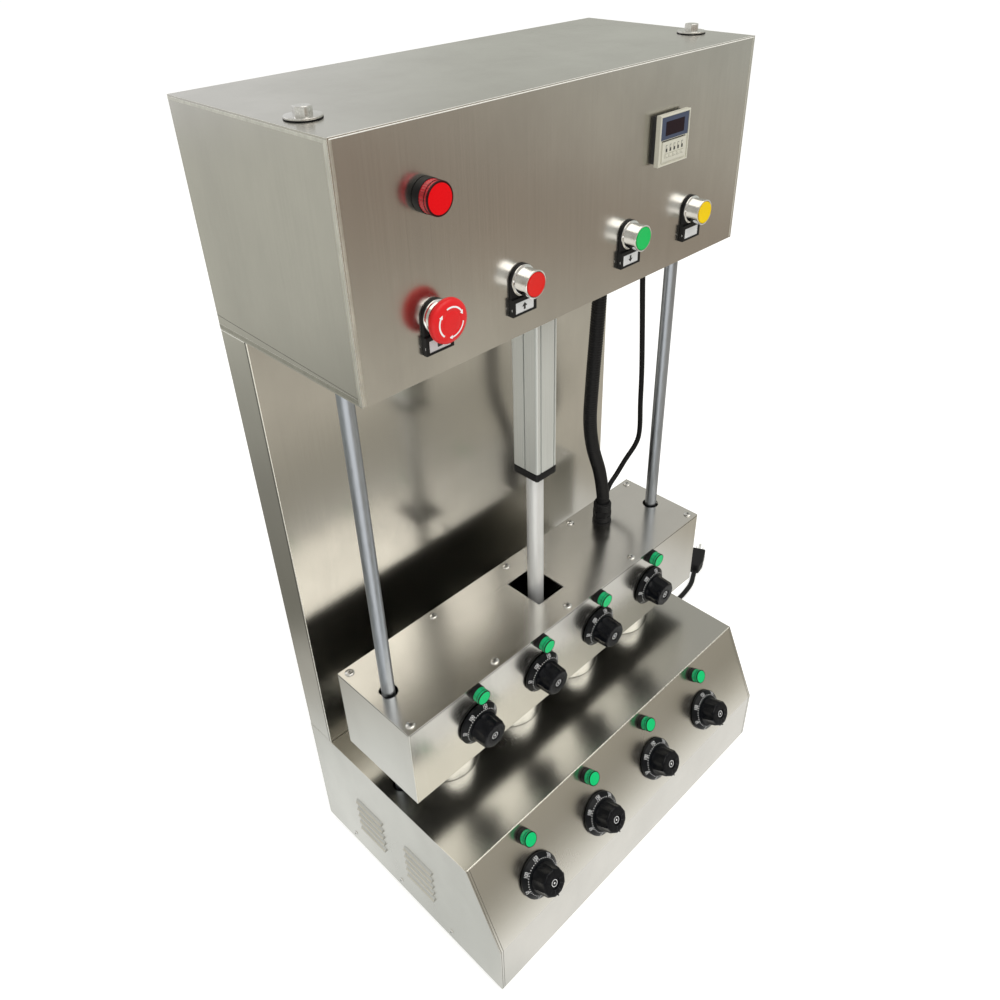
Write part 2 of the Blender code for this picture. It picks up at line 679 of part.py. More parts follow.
def thermostat_bank(name, parent, places, lamp_rise):
    """The mounting plate behind a panel, with its thermostats and its pilot lamps.

    The places are those of the dials, and the lamps stand a rise above them. Each thermostat
    has the bore that takes its dial's spindle.
    """
    half, front = THERMOSTAT_SIDE / 2, -SHEET - GAP
    first, last = places[0], places[-1]
    middle = first.copy()
    middle.translation = (first.translation + last.translation) / 2
    reach = (last.translation - first.translation).length / 2 + half + BANK_PLATE_MARGIN
    plate, fittings, bores = bmesh.new(), bmesh.new(), bmesh.new()
    box(plate, (-reach, -half - BANK_PLATE_MARGIN, front - SHEET),
        (reach, lamp_rise + LAMP_NECK_RADIUS + GAP, front))
    item = make(name, plate, BLACK, parent, middle)
    spots = [middle.inverted() @ place for place in places]
    lamp = [
        (0, LAMP_HEIGHT), (LAMP_RADIUS, LAMP_HEIGHT), (LAMP_RADIUS, LAMP_COLLAR_HEIGHT),
        (LAMP_COLLAR_RADIUS, LAMP_COLLAR_HEIGHT), (LAMP_COLLAR_RADIUS, GAP),
        (LAMP_NECK_RADIUS, GAP), (LAMP_NECK_RADIUS, front - OVERLAP), (0, front - OVERLAP),
    ]
    for spot in spots:
        x = spot.translation.x
        box(fittings, (x - half, -half, front - SHEET - THERMOSTAT_DEPTH),
            (x + half, half, front - OVERLAP))
        turned(fittings, lamp, SMALL_ROUND, at(x, lamp_rise))
        drill(bores, SPINDLE_RADIUS + SPINDLE_FIT, -SPINDLE_LENGTH - OVERRUN, OVERRUN,
              TINY_ROUND, at(x, 0))
    combine(item, "UNION", fittings, "fittings")
    combine(item, "DIFFERENCE", bores, "bores")


def dial(name, parent, place):
    """A thermostat dial: a coned skirt and a fluted grip, on the spindle that it turns."""
    top = DIAL_HEIGHT
    profile = [
        (0, -SPINDLE_LENGTH), (SPINDLE_RADIUS, -SPINDLE_LENGTH), (SPINDLE_RADIUS, DIAL_LIFT),
        (DIAL_RADIUS, DIAL_LIFT), (DIAL_RADIUS, DIAL_LIFT + DIAL_RIM),
        (DIAL_NECK_RADIUS, DIAL_LIFT + DIAL_CONE), (GRIP_RADIUS, DIAL_LIFT + DIAL_CONE),
        (GRIP_RADIUS, top - GRIP_BEVEL), (GRIP_RADIUS - GRIP_BEVEL, top), (0, top),
    ]
    bm = bmesh.new()
    turned(bm, profile, ROUND, fluted=(6, 7, 8), flute=FLUTE_DEPTH)
    make(name, bm, BLACK, parent, place)


# Column and head


def column_housing(machine):
    """A folded channel with its open side to the back, where its flanges take the cover."""
    w, t, flange = HALF_WIDTH, SHEET, COLUMN_FLANGE
    front, rear = COLUMN_FRONT, REAR_FACE
    outline = [
        (-w, rear), (-w, front), (w, front), (w, rear), (w - flange, rear),
        (w - flange, rear - t), (w - t, rear - t), (w - t, front + t), (-w + t, front + t),
        (-w + t, rear - t), (-w + flange, rear - t), (-w + flange, rear),
    ]
    bm = bmesh.new()
    prism(bm, outline, BASE_HEIGHT + GAP, HEAD_BOTTOM - GAP, "Z")
    make("column_housing", bm, STEEL, machine)


def rear_cover(machine):
    """One long cover, which closes the column's back and the opening behind the head."""
    half = HALF_WIDTH - COVER_INSET
    bm = bmesh.new()
    box(bm, (-half, BODY_DEPTH - COVER, BASE_HEIGHT + COVER_INSET),
        (half, BODY_DEPTH, HEAD_TOP - COVER_INSET))
    make("rear_cover", bm, STEEL, machine)


def head_housing(machine):
    """A folded box with cut-outs for the controls, a service opening behind and holes below."""
    bm = bmesh.new()
    box(bm, (-HALF_WIDTH, HEAD_SETBACK, HEAD_BOTTOM), (HALF_WIDTH, REAR_FACE, HEAD_TOP))
    item = make("head_housing", bm, STEEL, machine)
    cavity, holes = bmesh.new(), bmesh.new()
    box(cavity, (-HALF_WIDTH + SHEET, HEAD_SETBACK + SHEET, HEAD_BOTTOM + SHEET),
        (HALF_WIDTH - SHEET, REAR_FACE - SHEET, HEAD_TOP - SHEET))
    margin = COVER_INSET + ACCESS_MARGIN
    box(holes, (-HALF_WIDTH + margin, REAR_FACE - SHEET - OVERRUN, HEAD_BOTTOM + margin),
        (HALF_WIDTH - margin, REAR_FACE + OVERRUN, HEAD_TOP - margin))
    for x in CONTROL_PLACES.values():
        drill(holes, CUTOUT_RADIUS, -SHEET - OVERRUN, OVERRUN, ROUND,
              head_place(x, CONTROL_RISE))
    drill(holes, CUTOUT_RADIUS, -SHEET - OVERRUN, OVERRUN, ROUND,
          head_place(CONTROL_PLACES["estop"], POWER_LAMP_RISE))
    side = TIMER_BODY_SIDE / 2 + GAP
    rise = HEAD_BOTTOM + TIMER_RISE
    box(holes, (TIMER_X - side, HEAD_SETBACK - OVERRUN, rise - side),
        (TIMER_X + side, HEAD_SETBACK + SHEET + OVERRUN, rise + side))
    low, high = -OVERRUN, SHEET + OVERRUN
    for x in ROD_PLACES:
        drill(holes, BOLT_RADIUS + BOLT_FIT, -high, -low, ROUND, at(x, ROD_SETBACK, HEAD_TOP))
        drill(holes, ROD_RADIUS + ROD_FIT, low, high, ROUND, at(x, ROD_SETBACK, HEAD_BOTTOM))
    for (x, y), radius in ((CONDUIT_HEAD, GLAND_NECK_RADIUS), (CABLE_HEAD, GROMMET_NECK_RADIUS)):
        drill(holes, radius + GLAND_FIT, low, high, ROUND, at(x, y, HEAD_BOTTOM))
    width, depth = ACTUATOR_WIDTH / 2 + ROD_FIT, ACTUATOR_DEPTH / 2 + ROD_FIT
    box(holes, (-width, ROD_SETBACK - depth, HEAD_BOTTOM + low),
        (width, ROD_SETBACK + depth, HEAD_BOTTOM + high))
    combine(item, "DIFFERENCE", cavity, "cavity")
    combine(item, "DIFFERENCE", holes, "holes")


def guide_rods(machine):
    """Two ground rods with foot collars on the base's bottom plate, bored for their bolts."""
    foot = SHEET + GAP
    collar = foot + ROD_COLLAR_HEIGHT
    bore = BOLT_RADIUS + BOLT_FIT
    floor = ROD_TOP - BOLT_DEPTH
    profile = [(0, foot), (ROD_COLLAR_RADIUS, foot), (ROD_COLLAR_RADIUS, collar),
               (ROD_RADIUS, collar), (ROD_RADIUS, ROD_TOP), (bore, ROD_TOP), (bore, floor),
               (0, floor)]
    for side, x in zip(SIDES, ROD_PLACES):
        bm = bmesh.new()
        turned(bm, profile, ROUND)
        make(f"guide_rod_{side}", bm, BRIGHT_STEEL, machine, at(x, ROD_SETBACK))


def guide_rod_bolts(machine):
    """The hexagon bolts, each with its washer, that hold the head to the rods."""
    washer_bottom = HEAD_TOP + GAP
    washer_top = washer_bottom + WASHER_THICKNESS
    tip = ROD_TOP - BOLT_DEPTH + OVERRUN
    profile = [(0, washer_top), (WASHER_RADIUS, washer_top), (WASHER_RADIUS, washer_bottom),
               (BOLT_RADIUS, washer_bottom), (BOLT_RADIUS, tip), (0, tip)]
    for side, x in zip(SIDES, ROD_PLACES):
        bm, head = bmesh.new(), bmesh.new()
        turned(bm, profile, ROUND)
        item = make(f"guide_rod_bolt_{side}", bm, BRIGHT_STEEL, machine, at(x, ROD_SETBACK))
        drill(head, BOLT_HEAD_RADIUS, washer_top - OVERLAP, washer_top + BOLT_HEAD_HEIGHT, 6)
        combine(item, "UNION", head, "head")


# Actuator


def extrusion_outline(width, depth):
    """A box section with cut corners and a groove down the middle of each side."""
    w, d, c = width / 2, depth / 2, ACTUATOR_CORNER
    g, e = ACTUATOR_GROOVE / 2, ACTUATOR_GROOVE_DEPTH
    side = [(w, -d + c), (w, -g), (w - e, -g), (w - e, g), (w, g), (w, d - c)]
    back = [(w - c, d), (g, d), (g, d - e), (-g, d - e), (-g, d), (-w + c, d)]
    half = side + back
    return half + [(-x, -y) for x, y in half]


def actuator_body(machine):
    bottom = ACTUATOR_CAP_BOTTOM + ACTUATOR_CAP_HEIGHT + GAP
    bm, bore = bmesh.new(), bmesh.new()
    prism(bm, extrusion_outline(ACTUATOR_WIDTH, ACTUATOR_DEPTH), bottom, ACTUATOR_TOP, "Z")
    item = make("actuator_body", bm, ALUMINIUM, machine, at(0, ROD_SETBACK))
    drill(bore, ACTUATOR_ROD_RADIUS + ACTUATOR_ROD_FIT, bottom - OVERRUN,
          ACTUATOR_TOP - ACTUATOR_END_WALL, ROUND)
    combine(item, "DIFFERENCE", bore, "bore")


def actuator_end_cap(machine):
    """The black cap at the lower end, through which the rod slides."""
    w = ACTUATOR_WIDTH / 2 + ACTUATOR_CAP_LIP
    d = ACTUATOR_DEPTH / 2 + ACTUATOR_CAP_LIP
    c = ACTUATOR_CORNER
    outline = [(w, -d + c), (w, d - c), (w - c, d), (-w + c, d), (-w, d - c), (-w, -d + c),
               (-w + c, -d), (w - c, -d)]
    top = ACTUATOR_CAP_BOTTOM + ACTUATOR_CAP_HEIGHT
    bm, bore = bmesh.new(), bmesh.new()
    prism(bm, outline, ACTUATOR_CAP_BOTTOM, top, "Z")
    item = make("actuator_end_cap", bm, BLACK, machine, at(0, ROD_SETBACK))
    drill(bore, ACTUATOR_ROD_RADIUS + ACTUATOR_ROD_FIT, ACTUATOR_CAP_BOTTOM - OVERRUN,
          top + OVERRUN, ROUND)
    combine(item, "DIFFERENCE", bore, "bore")


def actuator_gearmotor(machine):
    """Gear case on the actuator's top, hung from the head's roof, with its motor at the side."""
    w, d = GEARBOX_WIDTH / 2, GEARBOX_DEPTH / 2
    bottom, top = ACTUATOR_TOP + GAP, GEARBOX_TOP
    bm, extra = bmesh.new(), bmesh.new()
    box(bm, (-w, -d, bottom), (w, d, top))
    item = make("actuator_gearmotor", bm, ALUMINIUM, machine, at(0, ROD_SETBACK))
    box(extra, (-HANGER_WIDTH / 2, -HANGER_DEPTH / 2, top - OVERLAP),
        (HANGER_WIDTH / 2, HANGER_DEPTH / 2, HEAD_TOP - SHEET - GAP))
    middle = at(OVERLAP - w, 0, (bottom + top) / 2) @ FACING_LEFT
    drill(extra, MOTOR_RADIUS, 0, MOTOR_LENGTH, ROUND, middle)
    combine(item, "UNION", extra, "motor")


def actuator_rod(carriage):
    """The light grey rod, with the flanged foot that stands on the carriage's floor."""
    foot = SHEET + GAP
    flange, neck = foot + ROD_FLANGE_THICKNESS, foot + ROD_FOOT_HEIGHT
    top = ACTUATOR_CAP_BOTTOM + ACTUATOR_ROD_GRIP - CARRIAGE_REST
    profile = [(0, foot), (ROD_FLANGE_RADIUS, foot), (ROD_FLANGE_RADIUS, flange),
               (ROD_FOOT_RADIUS, flange), (ROD_FOOT_RADIUS, neck), (ACTUATOR_ROD_RADIUS, neck),
               (ACTUATOR_ROD_RADIUS, top), (0, top)]
    bm = bmesh.new()
    turned(bm, profile, ROUND)
    make("actuator_rod", bm, ALUMINIUM, carriage)


# Controls on the head


def control_bodies(machine):
    """The fixed part of each control: its ring, its neck and the holder of its label."""
    radius, drop = HOLDER_RADIUS, HOLDER_DROP
    arc = [math.pi * k / ROUND for k in range(ROUND + 1)]
    outline = [(radius * math.cos(a), radius * math.sin(a)) for a in arc]
    outline += [(-radius, -drop), (radius, -drop)]
    for kind, x in CONTROL_PLACES.items():
        bm, holder, bores = bmesh.new(), bmesh.new(), bmesh.new()
        ring, height = BEZEL_RADIUS, BEZEL_HEIGHT
        if kind == "estop":
            ring, height = ESTOP_BEZEL_RADIUS, ESTOP_BEZEL_HEIGHT
        turned(bm, [(0, height), (ring, height), (ring, GAP), (CONTROL_NECK_RADIUS, GAP),
                    (CONTROL_NECK_RADIUS, -CONTROL_NECK_LENGTH), (0, -CONTROL_NECK_LENGTH)],
               ROUND)
        item = make(f"control_body_{kind}", bm, BLACK, machine, head_place(x, CONTROL_RISE))
        prism(holder, outline, GAP, GAP + HOLDER_THICKNESS, "Z")
        combine(item, "UNION", holder, "holder")
        label = bmesh.new()
        box(label, (-radius, -drop, GAP), (radius, LABEL_HEIGHT - drop, GAP + LABEL_THICKNESS))
        combine(item, "UNION", label, "label")
        if kind == "estop":
            drill(bores, ESTOP_STEM_RADIUS + PLUNGER_FIT, -CONTROL_NECK_LENGTH - OVERRUN,
                  height + OVERRUN, ROUND)
        else:
            turned(bores, [(0, height + OVERRUN), (BEZEL_BORE, height + OVERRUN),
                           (BEZEL_BORE, BEZEL_FLOOR), (PLUNGER_RADIUS + PLUNGER_FIT, BEZEL_FLOOR),
                           (PLUNGER_RADIUS + PLUNGER_FIT, -CONTROL_NECK_LENGTH - OVERRUN),
                           (0, -CONTROL_NECK_LENGTH - OVERRUN)], ROUND)
        combine(item, "DIFFERENCE", bores, "bore")


def button_caps(machine):
    radius = BEZEL_BORE - CAP_FIT
    back = CAP_HEIGHT - CAP_THICKNESS
    profile = [
        (0, CAP_HEIGHT), (radius, CAP_HEIGHT), (radius, back), (PLUNGER_RADIUS, back),
        (PLUNGER_RADIUS, -PLUNGER_LENGTH), (0, -PLUNGER_LENGTH),
    ]
    for kind, finish in (("red", RED), ("green", GREEN), ("yellow", YELLOW)):
        bm = bmesh.new()
        turned(bm, profile, ROUND)
        make(f"button_cap_{kind}", bm, finish, machine,
             head_place(CONTROL_PLACES[kind], CONTROL_RISE))


def emergency_stop(machine):
    """The mushroom head, which turns on the stem that it is pushed in with."""
    place = head_place(CONTROL_PLACES["estop"], CONTROL_RISE)
    bm = bmesh.new()
    drill(bm, ESTOP_STEM_RADIUS, -CONTROL_NECK_LENGTH, ESTOP_STEM_HEIGHT, ROUND)
    make("estop_stem", bm, BLACK, machine, place)
    bore = ESTOP_STEM_RADIUS + PLUNGER_FIT
    bore_top = ESTOP_STEM_HEIGHT + PLUNGER_FIT
    shoulder = ESTOP_BACK + ESTOP_RIM
    profile = [
        (0, ESTOP_HEIGHT), (ESTOP_RADIUS / 2, ESTOP_HEIGHT),
        (ESTOP_RADIUS * 7 / 8, (ESTOP_HEIGHT + shoulder) / 2 + OVERLAP),
        (ESTOP_RADIUS, shoulder), (ESTOP_RADIUS, ESTOP_BACK + ESTOP_RIM / 3),
        (ESTOP_RADIUS * 7 / 8, ESTOP_BACK), (bore, ESTOP_BACK), (bore, bore_top), (0, bore_top),
    ]
    bm = bmesh.new()
    turned(bm, profile, FINE_ROUND)
    make("estop_head", bm, RED, machine, place)


def power_lamp(machine):
    neck = CONTROL_NECK_RADIUS
    radius, top = POWER_LAMP_RADIUS, POWER_LAMP_HEIGHT
    profile = [
        (0, top), (radius - POWER_LAMP_BEVEL, top), (radius, top - POWER_LAMP_BEVEL),
        (radius, POWER_LAMP_COLLAR_HEIGHT), (POWER_LAMP_COLLAR, POWER_LAMP_COLLAR_HEIGHT),
        (POWER_LAMP_COLLAR, GAP), (neck, GAP), (neck, -CONTROL_NECK_LENGTH),
        (0, -CONTROL_NECK_LENGTH),
    ]
    bm = bmesh.new()
    turned(bm, profile, ROUND, head_place(CONTROL_PLACES["estop"], POWER_LAMP_RISE))
    make("power_lamp", bm, RED, machine)


def timer(machine):
    """A flush-mounted digital timer with a row of five small keys."""
    place = head_place(TIMER_X, TIMER_RISE)
    half, body = TIMER_SIDE / 2, TIMER_BODY_SIDE / 2
    bm, back, pockets = bmesh.new(), bmesh.new(), bmesh.new()
    box(bm, (-half, -half, GAP), (half, half, TIMER_HEIGHT))
    box(back, (-body, -body, -TIMER_BODY_DEPTH), (body, body, GAP + OVERLAP))
    half_key, half_rise = TIMER_KEY_WIDTH / 2, TIMER_KEY_HEIGHT / 2
    fit = KEY_FIT
    places = row_places(TIMER_KEY_COUNT, TIMER_KEY_PITCH)
    for x in places:
        box(pockets, (x - half_key - fit, -TIMER_KEY_DROP - half_rise - fit,
                      TIMER_HEIGHT - TIMER_POCKET_DEPTH),
            (x + half_key + fit, half_rise - TIMER_KEY_DROP + fit, TIMER_HEIGHT + OVERRUN))
    item = make("timer_housing", bm, CREAM, machine, place)
    combine(item, "UNION", back, "body")
    combine(item, "DIFFERENCE", pockets, "pockets")
    for number, x in enumerate(places, start=1):
        key = bmesh.new()
        box(key, (-half_key, -half_rise, -TIMER_KEY_DEPTH), (half_key, half_rise, TIMER_KEY_PROUD))
        make(f"timer_key_{number}", key, CREAM, machine,
             place @ at(x, -TIMER_KEY_DROP, TIMER_HEIGHT))


# Carriage


def carriage_housing(carriage):
    """A folded tray with an inward rim that the lid is screwed to."""
    front, rear, rim = -CARRIAGE_FRONT_REACH, CARRIAGE_REAR_REACH, CARRIAGE_RIM
    top = CARRIAGE_RIM_TOP
    bm = bmesh.new()
    box(bm, (-HALF_WIDTH, front, 0), (HALF_WIDTH, rear, top))
    item = make("carriage_housing", bm, STEEL, carriage)
    cavity, holes = bmesh.new(), bmesh.new()
    box(cavity, (-HALF_WIDTH + SHEET, front + SHEET, SHEET),
        (HALF_WIDTH - SHEET, rear - SHEET, top - SHEET))
    box(holes, (-HALF_WIDTH + rim, front + rim, top - SHEET - OVERRUN),
        (HALF_WIDTH - rim, rear - rim, top + OVERRUN))
    for x in MOULD_PLACES:
        drill(holes, CONE_NECK_RADIUS + MOULD_FIT, -OVERRUN, SHEET + OVERRUN, ROUND, at(x, 0))
    for x in ROD_PLACES:
        drill(holes, ROD_RADIUS + BUSHING_FIT, -OVERRUN, SHEET + OVERRUN, ROUND, at(x, 0))
    for x in DIAL_PLACES:
        drill(holes, SPINDLE_RADIUS + SPINDLE_FIT, -SHEET - OVERRUN, OVERRUN, TINY_ROUND,
              carriage_place(x, DIAL_RISE))
        drill(holes, LAMP_NECK_RADIUS + GAP, -SHEET - OVERRUN, OVERRUN, SMALL_ROUND,
              carriage_place(x, DIAL_RISE + LAMP_RISE))
    combine(item, "DIFFERENCE", cavity, "cavity")
    combine(item, "DIFFERENCE", holes, "holes")


def carriage_lid(carriage):
    top = CARRIAGE_HEIGHT
    bm, holes = bmesh.new(), bmesh.new()
    box(bm, (-HALF_WIDTH, -CARRIAGE_FRONT_REACH, LID_BOTTOM_RISE),
        (HALF_WIDTH, CARRIAGE_REAR_REACH, top))
    item = make("carriage_lid", bm, STEEL, carriage)
    low, high = LID_BOTTOM_RISE - OVERRUN, top + OVERRUN
    half, depth = SQUARE_HOLE_WIDTH / 2, SQUARE_HOLE_DEPTH / 2
    box(holes, (-half, -depth, low), (half, depth, high))
    for x in ROD_PLACES:
        drill(holes, ROD_HOLE_RADIUS, low, high, ROUND, at(x, 0))
    for (x, y), radius in ((CONDUIT_FOOT, GLAND_NECK_RADIUS), (CABLE_FOOT, GROMMET_NECK_RADIUS)):
        drill(holes, radius + GLAND_FIT, low, high, ROUND, at(x, y - ROD_SETBACK))
    combine(item, "DIFFERENCE", holes, "holes")


def guide_bushings(carriage):
    """Linear bushings that run on the guide rods, on the carriage's floor."""
    bore = ROD_RADIUS + BUSHING_FIT
    foot = SHEET + GAP
    top = foot + BUSHING_LENGTH
    profile = [(bore, foot), (BUSHING_RADIUS, foot), (BUSHING_RADIUS, top), (bore, top)]
    for side, x in zip(SIDES, ROD_PLACES):
        bm = bmesh.new()
        turned(bm, profile, ROUND)
        make(f"guide_bushing_{side}", bm, BLACK, carriage, at(x, 0))


def upper_moulds(carriage):
    """Four cone moulds under the carriage, each with a flange and a neck through the floor."""
    flange_bottom = -CONE_FLANGE_DROP
    tip = flange_bottom - CONE_LENGTH
    neck_top = SHEET + CONE_NECK_LENGTH
    profile = [
        (0, neck_top), (CONE_NECK_RADIUS, neck_top), (CONE_NECK_RADIUS, -GAP),
        (CONE_FLANGE_RADIUS, -GAP), (CONE_FLANGE_RADIUS, flange_bottom),
        (CONE_MOUTH_RADIUS, flange_bottom), (CONE_TIP_RADIUS, tip), (0, tip),
    ]
    for number, x in enumerate(MOULD_PLACES, start=1):
        bm = bmesh.new()
        turned(bm, profile, FINE_ROUND)
        make(f"upper_mould_{number}", bm, BRIGHT_STEEL, carriage, at(x, 0))


# Cables


def gland(bm, place, height):
    """Adds a conduit gland: a body on the sheet, a nut above it and the hose's mouth."""
    mouth = CONDUIT_RADIUS + GLAND_FIT
    floor = height - GLAND_MOUTH_DEPTH
    nut = GLAND_NUT_BOTTOM * height / GLAND_HEIGHT
    profile = [
        (0, -GLAND_NECK_LENGTH), (GLAND_NECK_RADIUS, -GLAND_NECK_LENGTH),
        (GLAND_NECK_RADIUS, GAP), (GLAND_RADIUS, GAP), (GLAND_RADIUS, nut),
        (GLAND_NUT_RADIUS, nut), (GLAND_NUT_RADIUS, floor), (mouth + SHEET, height),
        (mouth, height), (mouth, floor), (0, floor),
    ]
    turned(bm, profile, ROUND, place)


def grommet(bm, place):
    mouth = CABLE_RADIUS + GLAND_FIT
    height = GROMMET_HEIGHT
    floor = height - GROMMET_MOUTH_DEPTH
    profile = [
        (0, -GLAND_NECK_LENGTH), (GROMMET_NECK_RADIUS, -GLAND_NECK_LENGTH),
        (GROMMET_NECK_RADIUS, GAP), (GROMMET_RADIUS, GAP), (GROMMET_RADIUS, floor),
        (mouth + SHEET, height), (mouth, height), (mouth, floor), (0, floor),
    ]
    turned(bm, profile, SMALL_ROUND, place)


def cable_glands(name, parent, place, conduit, cable, height):
    """The conduit's gland and the cable's grommet in one sheet, on a shared backing plate.

    The two are given as (x, y) on the sheet, whose outer face lies at Z zero of the place.
    """
    bm, small, backing = bmesh.new(), bmesh.new(), bmesh.new()
    gland(bm, at(*conduit), height)
    item = make(name, bm, BLACK, parent, place)
    grommet(small, at(*cable))
    margin = GROMMET_NECK_RADIUS + BACKING_MARGIN
    low = [min(one, two) - margin for one, two in zip(conduit, cable)]
    high = [max(one, two) + margin for one, two in zip(conduit, cable)]
    top = -SHEET - GAP
    box(backing, (*low, top - BACKING_THICKNESS), (*high, top))
    combine(item, "UNION", backing, "backing")
    combine(item, "UNION", small, "grommet")


def lid_cable_glands(carriage):
    conduit, cable = ((x, y - ROD_SETBACK) for x, y in (CONDUIT_FOOT, CABLE_FOOT))
    cable_glands("lid_cable_glands", carriage, at(0, 0, CARRIAGE_HEIGHT), conduit, cable,
                 GLAND_HEIGHT)


def head_cable_glands(machine):
    conduit, cable = ((x, ROD_SETBACK - y) for x, y in (CONDUIT_HEAD, CABLE_HEAD))
    cable_glands("head_cable_glands", machine, at(0, ROD_SETBACK, HEAD_BOTTOM) @ FACING_DOWN,
                 conduit, cable, HEAD_GLAND_HEIGHT)


def conduit_hose(machine):
    """The corrugated conduit between the lid and the head, with its bore."""
    low = LID_TOP + GLAND_HEIGHT - GLAND_MOUTH_DEPTH + GAP
    high = HEAD_BOTTOM - HEAD_GLAND_HEIGHT + GLAND_MOUTH_DEPTH - GAP
    diameter = 2 * CONDUIT_RADIUS
    (foot_x, foot_y), (head_x, head_y) = CONDUIT_FOOT, CONDUIT_HEAD
    first, last = Vector((foot_x, foot_y, low)), Vector((head_x, head_y, high))
    start, end = first + UP * diameter, last - UP * diameter
    way = [first + Vector((sway, 0, share * (high - low)))
           for sway, share in zip(CONDUIT_SWAYS, CONDUIT_RISE_SHARES)]
    ribbed = smooth_route([start, *way, end], CONDUIT_PITCH / 2, UP, UP)
    shares = [1 if k % 2 == 0 else CONDUIT_GROOVE_SHARE for k in range(len(ribbed))]
    bm = tube_bmesh([first, *ribbed, last], CONDUIT_RADIUS, 2, [1, *shares, 1])
    item = make("conduit_hose", bm, RUBBER, machine)
    plain = smooth_route([start, *way, end], CONDUIT_RADIUS, UP, UP)
    ends = (first - UP * OVERRUN, last + UP * OVERRUN)
    combine(item, "DIFFERENCE", tube_bmesh([ends[0], *plain, ends[1]], CONDUIT_BORE, 2), "bore")
    print(f"conduit: {route_length([first, *ribbed, last]):.3f} m, {len(ribbed) // 2} ribs")


def signal_cable(machine):
    low = LID_TOP + GROMMET_HEIGHT - GROMMET_MOUTH_DEPTH + GAP
    high = HEAD_BOTTOM - GROMMET_HEIGHT + GROMMET_MOUTH_DEPTH - GAP
    first, last = Vector((*CABLE_FOOT, low)), Vector((*CABLE_HEAD, high))
    start, end = first + UP * 2 * CABLE_RADIUS, last - UP * 2 * CABLE_RADIUS
    way = [first + Vector((*sway, share * (high - low)))
           for sway, share in zip(CABLE_SWAYS, CABLE_RISE_SHARES)]
    route = smooth_route([start, *way, end], 5 * CABLE_RADIUS, UP, UP)
    route = [first, *route, last]
    tube("signal_cable", route, CABLE_RADIUS, 2, RUBBER, machine)
    print(f"signal cable: {route_length(route):.3f} m")


def mains_strain_relief(machine):
    bm = bmesh.new()
    nut = GAP + RELIEF_NUT_LENGTH
    tip = GAP + RELIEF_LENGTH - GAP
    profile = [
        (0, -RELIEF_NECK_LENGTH), (RELIEF_NECK_RADIUS, -RELIEF_NECK_LENGTH),
        (RELIEF_NECK_RADIUS, GAP), (RELIEF_NUT_RADIUS, GAP), (RELIEF_NUT_RADIUS, nut),
        ((RELIEF_NUT_RADIUS + RELIEF_TIP_RADIUS) / 2, nut), (RELIEF_TIP_RADIUS, tip), (0, tip),
    ]
    turned(bm, profile, ROUND, at(HALF_WIDTH, LEAD_SETBACK, LEAD_EXIT_HEIGHT) @ FACING_RIGHT)
    make("mains_strain_relief", bm, BLACK, machine)


def coil_point(turns):
    """A point of the coil after so many turns, from its start at the machine's front side."""
    middle = COIL_TURNS / 2
    radius = COIL_RADIUS - COIL_PITCH * (middle - abs(turns - middle))
    climbed = min(1.0, max(0.0, (turns - middle + 0.25) * 2))
    angle = math.tau * turns - math.pi / 2
    y = LEAD_SETBACK + COIL_RADIUS
    z = LEAD_FLOOR + COIL_LAYER * (1 - climbed)
    return Vector((COIL_X + radius * math.cos(angle), y + radius * math.sin(angle), z))


def coil_ends():
    """The coil's first and last point, a lead's diameter before and after its turns."""
    straight = Vector((2 * LEAD_RADIUS, 0, 0))
    return coil_point(0) - straight, coil_point(COIL_TURNS) + straight


def report_least_gap(points):
    """Prints the coil's least gap to itself, on points eight to each straight piece."""
    dense = []
    for one, two in zip(points, points[1:]):
        dense += [one.lerp(two, k / 8) for k in range(8)]
    spots = np.array([tuple(point) for point in dense])
    apart = np.linalg.norm(spots[:, None] - spots[None], axis=2)
    along = np.abs(np.arange(len(spots))[:, None] - np.arange(len(spots))[None])
    least = apart[along > 8 * COIL_STEPS / 2].min() - 2 * LEAD_RADIUS
    print(f"coil: least gap to itself {least * 1000:.2f} mm")


def mains_cord(machine):
    """The lead down from the strain relief, the coil, and the run on the floor to the plug."""
    start = Vector((LEAD_START_X, LEAD_SETBACK, LEAD_EXIT_HEIGHT))
    coil_start, coil_end = coil_ends()
    drop = start.z - coil_start.z
    reach = coil_start.x - start.x
    lead_points = [start]
    for along, down in LEAD_DROP_SHARES:
        lead_points.append(start + Vector((along * reach, 0, -down * drop)))
    lead_points.append(coil_start - Vector((GAP, 0, 0)))
    lead = smooth_route(lead_points, 3 * LEAD_RADIUS, ALONG, ALONG)
    tube("mains_lead", lead, LEAD_RADIUS, 2, RUBBER, machine)

    steps = COIL_TURNS * COIL_STEPS
    coil = [coil_start] + [coil_point(k / COIL_STEPS) for k in range(steps + 1)] + [coil_end]
    tube("mains_coil", coil, LEAD_RADIUS, 1, RUBBER, machine)
    report_least_gap(coil)

    run_points = [coil_end + Vector((GAP, 0, 0))]
    run_points += [Vector((HALF_WIDTH + x, y, LEAD_FLOOR)) for x, y in RUN_ROUTE]
    heading = Vector((math.cos(PLUG_HEADING), math.sin(PLUG_HEADING), 0))
    run_points.append(Vector((*PLUG_START, LEAD_FLOOR)) - heading * GAP)
    run = smooth_route(run_points, 5 * LEAD_RADIUS, ALONG, heading)
    tube("mains_run", run, LEAD_RADIUS, 2, RUBBER, machine)
    whole = route_length(lead) + route_length(coil) + route_length(run)
    print(f"mains lead: {whole:.3f} m")


